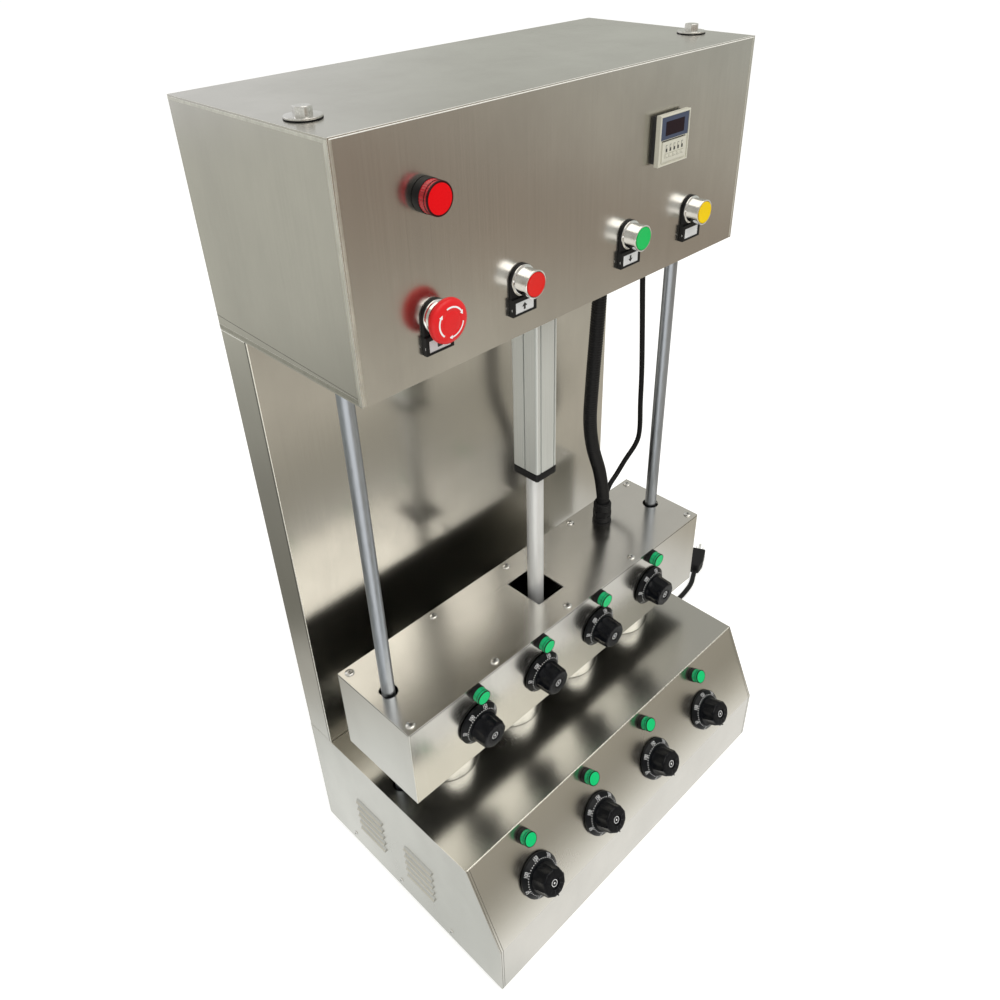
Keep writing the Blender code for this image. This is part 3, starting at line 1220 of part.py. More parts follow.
def mains_plug(machine):
    """A moulded plug lying on the floor, with two blades and an earth pin."""
    tail, wide = PLUG_TAIL_WIDTH / 2, PLUG_WIDTH / 2
    outline = [(0, -tail), (PLUG_TAPER, -wide), (PLUG_LENGTH, -wide), (PLUG_LENGTH, wide),
               (PLUG_TAPER, wide), (0, tail)]
    bm, pins = bmesh.new(), bmesh.new()
    prism(bm, outline, 0, PLUG_THICKNESS, "Z")
    place = Matrix.Translation((*PLUG_START, FLOOR)) @ Matrix.Rotation(PLUG_HEADING, 4, "Z")
    item = make("mains_plug", bm, BLACK, machine, place)
    middle = PLUG_THICKNESS / 2
    start, end = PLUG_LENGTH - OVERLAP, PLUG_LENGTH + BLADE_LENGTH
    for y in (-BLADE_SPACING / 2, BLADE_SPACING / 2):
        box(pins, (start, y - BLADE_THICKNESS / 2, middle - BLADE_WIDTH),
            (end, y + BLADE_THICKNESS / 2, middle))
    drill(pins, EARTH_PIN_RADIUS, start, end, TINY_ROUND,
          at(0, 0, middle + EARTH_PIN_LIFT) @ FACING_RIGHT)
    combine(item, "UNION", pins, "pins")


def build_machine():
    clear_scene()
    machine = empty("machine", (0, -ORIGIN_SETBACK, FOOT_HEIGHT))
    carriage = empty("carriage", (0, ROD_SETBACK, CARRIAGE_REST), machine)
    slope_dials = [slope_place(x, SLOPE_DIAL_DROP) for x in SLOPE_DIAL_PLACES]
    carriage_dials = [carriage_place(x, DIAL_RISE) for x in DIAL_PLACES]

    for piece in (
        base_housing, base_bottom_plate, lower_moulds, column_housing, rear_cover, head_housing,
        guide_rods, guide_rod_bolts, actuator_body, actuator_end_cap, actuator_gearmotor,
        control_bodies, button_caps, emergency_stop, power_lamp, timer, head_cable_glands,
        conduit_hose, signal_cable, mains_strain_relief, mains_cord, mains_plug,
    ):
        piece(machine)
    for piece in (
        carriage_housing, carriage_lid, guide_bushings, upper_moulds, actuator_rod,
        lid_cable_glands,
    ):
        piece(carriage)
    thermostat_bank("base_thermostat_bank", machine, slope_dials,
                    SLOPE_DIAL_DROP - SLOPE_LAMP_DROP)
    thermostat_bank("carriage_thermostat_bank", carriage, carriage_dials, LAMP_RISE)
    for number, (low, high) in enumerate(zip(slope_dials, carriage_dials), start=1):
        dial(f"base_dial_{number}", machine, low)
        dial(f"carriage_dial_{number}", carriage, high)


build_machine()
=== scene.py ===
"""Looks of the pizza cone machine: finishes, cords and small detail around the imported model.

All lengths are in metres, except inside `mm(...)`, which takes points in millimetres. Places are
given from the middle of the base's lower front edge, with X to the machine's right, Y to its back
and Z up, and `spot` turns them into the frame's own. A control's own axes are X to the right, Y up
its panel and Z out of it.
"""

import math

import bmesh
import bpy
from mathutils import Matrix, Vector


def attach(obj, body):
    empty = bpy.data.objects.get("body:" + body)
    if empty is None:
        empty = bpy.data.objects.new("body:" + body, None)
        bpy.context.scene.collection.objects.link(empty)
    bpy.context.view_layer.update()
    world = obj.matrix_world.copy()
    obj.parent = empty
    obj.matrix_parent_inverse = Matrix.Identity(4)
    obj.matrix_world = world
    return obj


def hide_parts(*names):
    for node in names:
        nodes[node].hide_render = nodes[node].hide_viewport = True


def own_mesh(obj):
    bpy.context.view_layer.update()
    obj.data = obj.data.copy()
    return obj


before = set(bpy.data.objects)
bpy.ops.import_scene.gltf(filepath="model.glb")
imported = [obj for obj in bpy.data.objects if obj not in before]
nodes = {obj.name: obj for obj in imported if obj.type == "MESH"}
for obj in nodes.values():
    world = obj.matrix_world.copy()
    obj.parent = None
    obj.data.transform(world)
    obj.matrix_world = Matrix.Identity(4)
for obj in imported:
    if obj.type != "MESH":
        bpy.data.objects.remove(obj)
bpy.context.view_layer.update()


def mm(*points):
    return [tuple(part / 1000 for part in point) for point in points]


# Where the frame's origin lies, counted from the base's lower front edge
ORIGIN_SETBACK = 0.172150
FOOT_HEIGHT = 0.008
FLOOR = -FOOT_HEIGHT

# Camera, fitted to the photograph's edges
CAMERA_PLACE = (-0.6194, -0.56565, 1.1490)
CAMERA_YAW = math.radians(44.457)
CAMERA_PITCH = math.radians(34.57)
CAMERA_ROLL = math.radians(-1.528)
CAMERA_LENS = 31.475
CAMERA_SENSOR = 36.0
CAMERA_SHIFT = (-0.0098, -0.0299)

# Body
HALF_WIDTH = 0.270
BODY_DEPTH = 0.360
BASE_HEIGHT = 0.1976
SLOPE_SETBACK = 0.0516
SLOPE_FOOT = 0.0862
SLOPE_LEAN = math.atan2(SLOPE_SETBACK, BASE_HEIGHT - SLOPE_FOOT)
COLUMN_FRONT = 0.3122
HEAD_BOTTOM = 0.778
HEAD_TOP = 0.992
HEAD_SETBACK = 0.1324
ROD_X = 0.2456
ROD_SETBACK = 0.1954
LID_TOP = 0.3684
CARRIAGE_REST = 0.2477
CARRIAGE_FRONT = 0.1298
CARRIAGE_REAR = 0.2593
SHEET = 0.0015
SIDES = (("left", -1), ("right", 1))

# Side louvres: a section up each face from its lip, and how far each point stands out of it
LOUVRE_SETBACKS = (0.120, 0.219)
LOUVRE_LENGTH = 0.053
LOUVRE_LOWEST = 0.052
LOUVRE_PITCH = 0.0145
LOUVRE_COUNT = 5
LOUVRE_HEIGHT = 0.0075
LOUVRE_DEPTH = 0.003
LOUVRE_SECTION = mm((0.4, 0.02), (0.7, 0.22), (1.3, 0.40), (2.1, 0.46), (2.9, 0.38), (3.6, 0.20),
                    (4.0, 0.04), (6.0, 0.04), (7.9, 0.04))
LOUVRE_ENDS = ((0.0, 0.10), (0.03, 0.72), (0.08, 1.0), (0.92, 1.0), (0.97, 0.72), (1.0, 0.10))

# Moulds
MOULD_PLACES = (-0.177, -0.059, 0.059, 0.177)
RIM_Z = 0.2360
CUP_DEPTH = 0.124
CONE_LENGTH = 0.113

# Controls
SLOPE_DIALS = (-0.1845, -0.0675, 0.0495, 0.1665)
SLOPE_DIAL_DROP = 0.077
SLOPE_LAMP_DROP = 0.0178
CARRIAGE_DIALS = (-0.17095, -0.06065, 0.04965, 0.15995)
DIAL_RISE = 0.0583
LAMP_RISE = 0.1108
CONTROL_RISE = 0.0555
POWER_LAMP_RISE = 0.1565
CONTROLS = {"estop": -0.187, "red": -0.083, "green": 0.073, "yellow": 0.179}
TIMER_PLACE = (0.126, 0.1405)

# Dials
DIAL_NUMBERS = ("0", "50", "100", "150", "200", "250", "300")
NUMBER_PITCH = math.radians(50)
NUMBER_HEIGHT = 0.0040
NUMBER_SQUEEZE = 0.86
DOTS_BETWEEN = 5
DIAL_SKIRT = mm((28.5, 4.0), (21.2, 9.4))
NUMBER_RADIUS = 0.0256
DOT_RADIUS = 0.0226
GRIP_LOBES = 10

# Mains lead
LEAD_RADIUS = 0.0046
LEAD_EXIT = (0.2705, 0.258, 0.024)
LEAD_START_X = 0.3003
LEAD_FLOOR = FLOOR + LEAD_RADIUS
LEAD_DROP_SHARES = ((0.10, 0.0), (0.25, 0.06), (0.42, 0.32), (0.58, 0.68), (0.74, 0.93),
                    (0.88, 1.0))
COIL_MIDDLE = (0.378, 0.319)
COIL_RADIUS = 0.061
COIL_PITCH = 0.010
COIL_LAYER = 0.0098
COIL_TURNS = 5
COIL_STEPS = 24
RUN_ROUTE = mm((425, 256.5), (458, 257), (483, 259.5), (508, 265), (529, 274.5))
PLUG_START = (0.542, 0.281)
PLUG_HEADING = math.radians(26)

# Conduit and signal cable
CONDUIT_RADIUS = 0.009
CONDUIT_RIB_PITCH = 0.0034
CONDUIT_ROUTE = mm((165, 221, 395.7), (165, 221, 413.7), (155.5, 221, 457.9), (138.5, 221, 507),
                   (131, 221, 552), (133, 221, 608), (136.8, 221, 662.9), (140.5, 221, 714.9),
                   (142.5, 221, 743.7), (142.5, 221, 761.7))
CABLE_RADIUS = 0.0035
CABLE_ROUTE = mm((183.5, 235.5, 372.7), (183.5, 235.5, 379.7), (200.1, 238, 402.2),
                 (219, 240, 413), (234.5, 238, 430.5), (253, 234, 453), (256.5, 232, 476),
                 (251, 230, 523), (246, 228, 576), (238, 226, 639), (229.5, 225, 715),
                 (225, 224, 766.7), (225, 224, 773.7))


# Places


def turn(angle, axis):
    return Matrix.Rotation(angle, 4, axis)


IDENTITY = Matrix.Identity(4)
QUARTER = math.pi / 2
FACING_FRONT = turn(QUARTER, "X")
FACING_SLOPE = turn(QUARTER - SLOPE_LEAN, "X")
FACING_RIGHT = turn(QUARTER, "Y")
FACING_LEFT = turn(-QUARTER, "Y")
FACING_BACK = turn(-QUARTER, "X")
FACING_DOWN = turn(math.pi, "X")


def spot(x, y, z):
    return Vector((x, y - ORIGIN_SETBACK, z + FOOT_HEIGHT))


def place_at(x, y, z, facing=IDENTITY):
    return Matrix.Translation(spot(x, y, z)) @ facing


def head_place(x, rise):
    return place_at(x, HEAD_SETBACK, HEAD_BOTTOM + rise, FACING_FRONT)


def control_place(kind):
    return head_place(CONTROLS[kind], CONTROL_RISE)


def carriage_place(x, rise):
    return place_at(x, CARRIAGE_FRONT, CARRIAGE_REST + rise, FACING_FRONT)


def slope_place(x, drop):
    return place_at(x, SLOPE_SETBACK - math.sin(SLOPE_LEAN) * drop,
                    BASE_HEIGHT - math.cos(SLOPE_LEAN) * drop, FACING_SLOPE)


# Outlines


def circle(radius, count, start=0.0):
    return [(radius * math.cos(start + math.tau * k / count),
             radius * math.sin(start + math.tau * k / count)) for k in range(count)]


def rectangle(low, high):
    return [(low[0], low[1]), (high[0], low[1]), (high[0], high[1]), (low[0], high[1])]


def oblong(half_width, half_depth):
    return rectangle((-half_width, -half_depth), (half_width, half_depth))


def arc(start, corner, end, steps):
    """A soft turn from one point to another, drawn to the corner between them."""
    return [tuple((1 - t) ** 2 * start + 2 * t * (1 - t) * corner + t * t * end)
            for t in (step / steps for step in range(steps + 1))]


def rounded(points, radius, steps=3, closed=False):
    """The outline with each corner that has room turned into an arc."""
    points = [Vector(point) for point in points]
    out = []
    for k, point in enumerate(points):
        if not closed and k in (0, len(points) - 1):
            out.append(tuple(point))
            continue
        before, after = points[k - 1] - point, points[(k + 1) % len(points)] - point
        cut = min(radius, before.length * 0.45, after.length * 0.45)
        out += arc(point + before.normalized() * cut, point, point + after.normalized() * cut,
                   steps)
    return out


def smooth_line(points, step):
    """Points a step apart on a smooth curve through the given ones."""
    points = [Vector(point) for point in points]
    ends = [2 * points[0] - points[1], *points, 2 * points[-1] - points[-2]]
    fine = []
    for k in range(len(points) - 1):
        a, b, c, d = ends[k:k + 4]
        for t in (j / 24 for j in range(24)):
            fine.append(0.5 * (2 * b + (c - a) * t + (2 * a - 5 * b + 4 * c - d) * t * t
                               + (3 * b - a - 3 * c + d) * t ** 3))
    fine.append(points[-1])
    gone = [0.0]
    for one, two in zip(fine, fine[1:]):
        gone.append(gone[-1] + (two - one).length)
    count = max(2, round(gone[-1] / step))
    out, k = [], 0
    for j in range(count + 1):
        want = gone[-1] * j / count
        while k < len(gone) - 2 and gone[k + 1] < want:
            k += 1
        out.append(fine[k].lerp(fine[k + 1], (want - gone[k]) / max(1e-9, gone[k + 1] - gone[k])))
    return out


# Meshes


def join(bm, rings, paint=0, caps=True):
    """Faces from each ring of points to the next, and over the first and the last."""
    for one, two in zip(rings, rings[1:]):
        for k in range(len(one)):
            after = (k + 1) % len(one)
            bm.faces.new((one[k], one[after], two[after], two[k])).material_index = paint
    if caps:
        bm.faces.new(rings[-1]).material_index = paint
        bm.faces.new(list(reversed(rings[0]))).material_index = paint


def flat(bm, points, paint):
    bm.faces.new([bm.verts.new(point) for point in points]).material_index = paint


def lathe(bm, profile, segments=48, place=IDENTITY, paint=0, swell=None):
    """Turns a profile of (radius, height) about Z. swell(angle, height) may scale the radius."""
    rings = []
    for radius, height in profile:
        ring = []
        for k in range(segments if radius > 1e-7 else 1):
            angle = math.tau * k / segments
            reach = radius * (swell(angle, height) if swell else 1.0)
            ring.append(bm.verts.new(place @ Vector((reach * math.cos(angle),
                                                     reach * math.sin(angle), height))))
        rings.append(ring)
    for low, high in zip(rings, rings[1:]):
        if len(low) == len(high) == 1:
            continue
        for k in range(segments):
            after = (k + 1) % segments
            corners = (low[k % len(low)], high[k % len(high)], high[after % len(high)],
                       low[after % len(low)])
            bm.faces.new(tuple(dict.fromkeys(corners))).material_index = paint


def bar(bm, radius, reach, place, paint=0):
    lathe(bm, [(0, -reach), (radius, -reach), (radius, reach), (0, reach)], 24, place, paint)


def prism(bm, outline, low, high, place=IDENTITY, edge=0.0, paint=0, steps=2):
    """A slab of the outline, its upper edge rounded by a small radius."""
    outline = [Vector(point) for point in outline]
    middle = sum(outline, Vector((0, 0))) / len(outline)
    inward = []
    for k, point in enumerate(outline):
        before = (point - outline[k - 1]).normalized()
        after = (outline[(k + 1) % len(outline)] - point).normalized()
        way = Vector((-before.y - after.y, before.x + after.x))
        way = way.normalized() if way.length > 1e-6 else Vector((0, 0))
        inward.append(-way if way.dot(middle - point) < 0 else way)
    layers = [(low, 0.0)]
    for step in range(steps + 1) if edge else (steps,):
        angle = QUARTER * step / steps
        layers.append((high - edge * (1 - math.sin(angle)), edge * (1 - math.cos(angle))))
    join(bm, [[bm.verts.new(place @ Vector((*(point + way * inset), height)))
               for point, way in zip(outline, inward)] for height, inset in layers], paint)


def block(bm, low, high, place=IDENTITY, edge=0.0, paint=0, corner=0.0):
    outline = rectangle(low, high)
    if corner:
        outline = rounded(outline, corner, 3, closed=True)
    prism(bm, outline, low[2], high[2], place, edge, paint)


def sweep(bm, points, radius_at, segments):
    """A tube along the points; radius_at(k) gives its radius at each of them."""
    side = (points[1] - points[0]).normalized().orthogonal().normalized()
    rings = []
    for k, point in enumerate(points):
        ahead = (points[min(k + 1, len(points) - 1)] - points[max(k - 1, 0)]).normalized()
        side = (side - ahead * side.dot(ahead)).normalized()
        other = ahead.cross(side)
        rings.append([bm.verts.new(point + radius_at(k) * (x * side + y * other))
                      for x, y in circle(1, segments)])
    join(bm, rings)


def strip(bm, start, end, across, width, proud, out, paint=0):
    """A thin strip that faces outward, from start to end, its width along `across` from there."""
    start, end, across = Vector(start), Vector(end), Vector(across)
    if (end - start).cross(across).dot(Vector(out)) < 0:
        start, end = end, start
    out = (end - start).cross(across).normalized()
    corners = [start, end, end + across * width, start + across * width]
    join(bm, [[bm.verts.new(corner - out * 0.0002) for corner in corners],
              [bm.verts.new(corner + out * proud + across * inward * proud)
               for corner, inward in zip(corners, (1, 1, -1, -1))]], paint)


def linked(name, data):
    item = bpy.data.objects.new(name, data)
    bpy.context.scene.collection.objects.link(item)
    return item


def piece(name, bm, finishes, body, slot, stands_for=(), sharp=35.0, place=IDENTITY):
    """Makes a piece of the mesh, smooth but for its sharp edges, and rides it on its body."""
    bmesh.ops.recalc_face_normals(bm, faces=bm.faces)
    for edge in bm.edges:
        if len(edge.link_faces) == 2 and edge.calc_face_angle(0) > math.radians(sharp):
            edge.smooth = False
    for face in bm.faces:
        face.smooth = True
    data = bpy.data.meshes.new(name)
    bm.to_mesh(data)
    bm.free()
    for finish in finishes if isinstance(finishes, list) else [finishes]:
        data.materials.append(finish)
    item = linked(name, data)
    # A tilted piece keeps its place in its mesh, so that its box stays tight
    if all(abs(abs(part) - round(abs(part))) < 1e-6 for row in place.to_3x3() for part in row):
        item.matrix_world = place
    else:
        data.transform(place)
    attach(item, body)
    if stands_for:
        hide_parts(*stands_for)
    return item


def turned(name, profile, segments, *looks, **how):
    """A piece that is one profile turned about its own axis."""
    bm = bmesh.new()
    lathe(bm, profile, segments)
    return piece(name, bm, *looks, **how)


# Shaders


class Shading:
    """Builds the nodes of a world, or of a new material of a given name. An input is a number, a
    colour or another node's output."""

    def __init__(self, owner):
        if isinstance(owner, str):
            owner = bpy.data.materials.new(owner)
        owner.use_nodes = True
        self.owner, self.tree = owner, owner.node_tree
        self.shader = self.tree.nodes.get("Principled BSDF")

    def put(self, item, inputs):
        for key, value in inputs.items():
            socket = item.inputs[key]
            if isinstance(value, bpy.types.NodeSocket):
                self.tree.links.new(value, socket)
            else:
                socket.default_value = (*value, 1) if socket.type == "RGBA" else value

    def add(self, kind, inputs, **settings):
        item = self.tree.nodes.new("ShaderNode" + kind)
        for name, value in settings.items():
            setattr(item, name, value)
        self.put(item, inputs)
        return item

    def math(self, operation, one, two=0.0):
        return self.add("Math", {0: one, 1: two}, operation=operation).outputs[0]

    def within(self, value, low, high):
        """1 where the value lies between low and high, else 0."""
        return self.math("MULTIPLY", self.math("GREATER_THAN", value, low),
                         self.math("LESS_THAN", value, high))

    def mixed(self, share, one, two, **settings):
        return self.add("Mix", {0: share, 6: one, 7: two}, data_type="RGBA", **settings).outputs[2]

    def ranged(self, value, low, high, start=0.3, end=0.7, **settings):
        return self.add("MapRange", {"Value": value, "From Min": start, "From Max": end,
                                     "To Min": low, "To Max": high}, **settings).outputs["Result"]

    def eased(self, value, start, end):
        return self.ranged(value, 0.0, 1.0, start, end, interpolation_type="SMOOTHSTEP")

    def both(self, one, two):
        """1 where two values are both past the ranges given with them, easing in over those."""
        return self.math("MULTIPLY", self.eased(*one), self.eased(*two))

    def tinted(self, value, colour, spread):
        """The colour, darker and lighter by a spread as the value goes from 0 to 1."""
        return self.mixed(value, tuple(part * (1 - spread) for part in colour),
                          tuple(min(1.0, part * (1 + spread)) for part in colour))

    def split(self, kind):
        coordinates = self.add("TexCoord", {}).outputs[kind]
        return self.add("SeparateXYZ", {0: coordinates}).outputs

    def scaled(self, scale):
        place = self.add("TexCoord", {}).outputs["Object"]
        return self.add("Mapping", {"Vector": place, "Scale": scale}).outputs["Vector"]

    def noise(self, vector, detail=3.0, roughness=0.55):
        return self.add("TexNoise", {"Vector": vector, "Scale": 1.0, "Detail": detail,
                                     "Roughness": roughness}).outputs["Fac"]

    def bump(self, value, strength, distance):
        return self.add("Bump", {"Height": value, "Strength": strength,
                                 "Distance": distance}).outputs["Normal"]

    def seen(self):
        """1 for the rays that see a surface, straight, in a reflection or through another."""
        rays = self.add("LightPath", {}).outputs
        either = self.math("MAXIMUM", rays["Is Camera Ray"], rays["Is Glossy Ray"])
        return self.math("MAXIMUM", either, rays["Is Transmission Ray"])

    def end(self, shader, output="Material Output"):
        self.put(self.tree.nodes[output], {"Surface": shader.outputs[0]})
        return self.owner


# Camera, floor and light

WORLD_STRENGTH = 0.62
FLOOR_GLOW = 0.50
FLOOR_REACH = 14.0

# The studio's room, seen only by polished surfaces: light on the floor near the machine and in
# front of it, dim brown further away, and one long bright panel in the ceiling. The bands of the
# floor are counted from the machine's footprint.
ROOM = (-4.5, 4.5, 3.4)
CARD_LIFT = 0.003
FOOTPRINT = (0.27, 0.18)
FLOOR_STEPS = ((0.0, (1.05, 1.04, 1.00)), (0.26, (0.98, 0.97, 0.93)), (0.40, (0.62, 0.58, 0.49)),
               (0.70, (0.72, 0.67, 0.57)), (1.20, (0.60, 0.57, 0.49)), (2.10, (0.36, 0.30, 0.24)),
               (3.20, (0.29, 0.225, 0.18)))
FLOOR_AHEAD = (0.38, 0.36, 0.30)
FLOOR_BEHIND = ((0.10, (0.84, 0.86, 0.83)), (0.30, (0.52, 0.51, 0.46)), (0.46, (0.24, 0.235, 0.20)),
                (0.85, (0.29, 0.285, 0.25)), (1.25, (0.42, 0.42, 0.37)), (1.90, (0.60, 0.60, 0.53)))
FLOOR_BESIDE = ((0.76, 0.78, 0.75), (0.93, 0.95, 0.92))
FLOOR_BRIGHT = (1.35, 1.32, 1.24)
FLOOR_RIGHT = (0.54, 0.51, 0.44)
CEILING_DIM = (0.64, 0.63, 0.59)
WALL_FRONT = (0.42, 0.37, 0.31)
WALL_BACK = (0.80, 0.80, 0.79)
WALL_RIGHT = (0.56, 0.57, 0.52)
WALL_LEFT = (0.72, 0.72, 0.67)


def add_camera():
    """The photograph's camera: its place, its heading and its picture's shift."""
    data = bpy.data.cameras.new("camera")
    data.sensor_width, data.lens = CAMERA_SENSOR, CAMERA_LENS
    data.shift_x, data.shift_y = CAMERA_SHIFT
    camera = linked("camera", data)
    camera.matrix_world = (Matrix.Translation(CAMERA_PLACE) @ turn(-CAMERA_YAW, "Z")
                           @ turn(QUARTER - CAMERA_PITCH, "X") @ turn(CAMERA_ROLL, "Z"))
    bpy.context.scene.camera = camera


def add_world():
    """Soft light from all round, and plain white for the rays that see the background."""
    world = bpy.data.worlds.new("studio")
    s = Shading(world)
    plain = s.tree.nodes["Background"]
    s.put(plain, {"Color": (1.0, 0.99, 0.97), "Strength": WORLD_STRENGTH})
    white = s.add("Background", {"Color": (1, 1, 1), "Strength": 1.0})
    s.end(s.add("MixShader", {0: s.seen(), 1: plain.outputs[0], 2: white.outputs[0]}),
          "World Output")
    bpy.context.scene.world = world


def stage_plane(name, corners, material):
    data = bpy.data.meshes.new(name)
    data.from_pydata(corners, [], [(0, 1, 2, 3)])
    data.materials.append(material)
    item = linked(name, data)
    return item


def add_floor():
    """A pale floor that is white to the camera but keeps the machine's soft shadow."""
    s = Shading("stage_floor")
    s.put(s.shader, {"Base Color": (0.86, 0.86, 0.85), "Roughness": 0.9,
                     "Specular IOR Level": 0.1})
    glow = s.add("Emission", {"Strength": s.math("MULTIPLY", s.seen(), FLOOR_GLOW)})
    material = s.end(s.add("AddShader", {0: s.shader.outputs[0], 1: glow.outputs[0]}))
    stage_plane("stage_floor", [(x, y, 0) for x, y in oblong(FLOOR_REACH, FLOOR_REACH)], material)


def add_lamp(name, place, target, size, power, colour=(1, 1, 1)):
    data = bpy.data.lights.new(name, "AREA")
    data.shape, data.energy, data.color = "RECTANGLE", power, colour
    data.size, data.size_y = size
    lamp = linked(name, data)
    lamp.rotation_mode = "QUATERNION"
    lamp.rotation_quaternion = (Vector(place) - Vector(target)).to_track_quat("Z", "Y")
    lamp.location = place
    lamp.visible_camera = False


def add_lights():
    """One long soft panel in the ceiling, ahead of the machine, and a weak one behind it."""
    add_lamp("panel_front", (0.32, -2.2, 3.3), (0.32, -2.2, 0), (3.84, 2.8), 66, (1.0, 0.97, 0.90))
    add_lamp("panel_back", (-0.6, 3.2, 3.0), (0, 0, 0.6), (2.4, 1.4), 12)


def floor_paint(s, x, y, z):
    """Bands round the machine's footprint, brighter on its left front and paler behind."""
    def beyond(value, half):
        far = s.math("MAXIMUM", s.math("SUBTRACT", s.math("ABSOLUTE", value), half))
        return s.math("MULTIPLY", far, far)

    def banded(steps):
        colour = steps[0][1]
        for (start, _), (end, after) in zip(steps, steps[1:]):
            colour = s.mixed(s.eased(gap, start, end), colour, after)
        return colour

    gap = s.math("SQRT", s.math("ADD", beyond(x, FOOTPRINT[0]), beyond(y, FOOTPRINT[1])))
    colour = s.mixed(s.eased(x, 1.95, 3.1), banded(FLOOR_STEPS), FLOOR_RIGHT)
    pale = s.mixed(s.eased(y, -0.08, 0.14), *FLOOR_BESIDE)
    colour = s.mixed(s.both((x, -0.20, -0.262), (y, -0.24, -0.12)), colour, pale)
    band = s.both((y, -0.40, -0.56), (y, -0.88, -0.76))
    colour = s.mixed(s.math("MULTIPLY", s.eased(x, 1.15, 0.85), band), colour, FLOOR_AHEAD)
    colour = s.mixed(s.both((y, -0.5, 0.3), (gap, 0.05, 0.15)), colour, banded(FLOOR_BEHIND))
    return s.mixed(s.both((x, -0.25, -0.6), (y, -0.1, -0.5)), colour, FLOOR_BRIGHT)


def add_cards():
    """The room's six sides, each a plain light whose colour may change over it."""
    low, high, top = ROOM

    def level(z):
        return [(x, y, z) for x, y in rectangle((low, low), (high, high))]

    def wall(start, end):
        return [(*start, 0), (*end, 0), (*end, top), (*start, top)]

    sides = {
        "floor": (level(CARD_LIFT), floor_paint),
        "ceiling": (level(top), CEILING_DIM),
        "front": (wall((low, low), (high, low)),
                  lambda s, x, y, z: s.mixed(s.eased(z, 0.6, 3.2), WALL_FRONT, CEILING_DIM)),
        "back": (wall((low, high), (high, high)),
                 lambda s, x, y, z: s.mixed(s.eased(x, 1.5, 4.4), WALL_BACK, WALL_RIGHT)),
        "right": (wall((high, low), (high, high)), WALL_RIGHT),
        "left": (wall((low, low), (low, high)), WALL_LEFT),
    }
    for side, (corners, paint) in sides.items():
        s = Shading(f"card_{side}")
        s.owner.cycles.emission_sampling = "NONE"
        s.tree.nodes.remove(s.shader)
        colour = paint(s, *s.split("Object")) if callable(paint) else paint
        card = stage_plane(f"card_{side}", corners, s.end(s.add("Emission", {"Color": colour})))
        for kind in ("camera", "diffuse", "shadow", "transmission", "volume_scatter"):
            setattr(card, f"visible_{kind}", False)


# Materials


def grained(name, colour, roughness, metallic=0.0, scale=(900, 900, 900), spread=0.08,
            rough_spread=0.05, bump=0.10, coat=0.0, detail=3.0, specular=0.5, glow=0.0):
    """A material with a fine grain in its colour, its roughness and its surface."""
    s = Shading(name)
    grain = s.noise(s.scaled(scale), detail)
    s.put(s.shader, {
        "Base Color": s.tinted(s.ranged(grain, 0.0, 1.0), colour, spread),
        "Metallic": metallic, "Specular IOR Level": specular,
        "Roughness": s.ranged(grain, roughness - rough_spread, roughness + rough_spread),
        "Coat Weight": coat, "Coat Roughness": 0.08,
        "Emission Color": colour, "Emission Strength": glow,
        "Normal": s.bump(grain, bump, 0.0002),
    })
    return s.owner


# How finely the steel's lines and stains are drawn along each axis, how level a face has to be
# for the level lines, and how high up a zone of painted light and shade its upper tone is reached
STREAKS_UP = (1100, 1100, 5)
STREAKS_LEVEL = (5, 1100, 1100)
STAINS = (9, 9, 6)
LEVEL_NORMAL = 0.30
PAINTED_LIGHT_REACH = 0.72


def brushed_steel(name, colour, roughness, spread=0.022, level=STREAKS_LEVEL, stain=0.05,
                  relief=0.02, painted_zones=()):
    """Brushed sheet: fine lines up its walls and along its level faces, and faint stains.
    Each zone of painted light and shade, from a low to a high place between the side walls, has
    its own painted tones, one at its foot and one higher up."""
    s = Shading(name)
    is_level = s.math("GREATER_THAN", s.math("ABSOLUTE", s.split("Normal")["Z"]), LEVEL_NORMAL)
    lines = s.add("Mix", {0: is_level, 4: s.scaled(STREAKS_UP), 5: s.scaled(level)},
                  data_type="VECTOR")
    streak = s.noise(lines.outputs[1], 2.0, 0.5)
    smear = s.noise(s.scaled(STAINS), 4.0, 0.6)
    wash = s.tinted(s.ranged(smear, 1.0, 0.0, 0.35, 0.70), (1 - stain,) * 3, stain)
    surface = s.mixed(1.0, s.tinted(s.ranged(streak, 0.0, 1.0), colour, spread), wash,
                      blend_type="MULTIPLY")
    # Each zone paints light or shade over the steel, eased from its foot to higher up
    for low, high, foot, upper in painted_zones:
        x, y, z = s.split("Object")
        zone = s.math("MULTIPLY", s.within(z, low.z, high.z), s.within(y, low.y, high.y))
        zone = s.math("MULTIPLY", zone, s.within(x, low.x, high.x))
        height = s.eased(z, low.z, low.z + PAINTED_LIGHT_REACH * (high.z - low.z))
        surface = s.mixed(zone, surface, s.mixed(height, foot, upper))
    sway = 0.55 * spread
    s.put(s.shader, {
        "Base Color": surface, "Metallic": 1.0, "Normal": s.bump(streak, relief, 0.00003),
        "Roughness": s.math("ADD", s.ranged(streak, roughness - sway, roughness + sway),
                            s.ranged(smear, -0.03, 0.03)),
    })
    return s.owner


def turned_metal(name, colour, roughness):
    """Lathe-turned metal, with fine rings round its Z axis."""
    s = Shading(name)
    rings = s.noise(s.scaled((6, 6, 2600)), 2.0)
    s.put(s.shader, {
        "Base Color": s.tinted(s.ranged(rings, 0.0, 1.0), colour, 0.08), "Metallic": 1.0,
        "Roughness": s.ranged(rings, roughness - 0.04, roughness + 0.05),
        "Normal": s.bump(rings, 0.10, 0.0001),
    })
    return s.owner


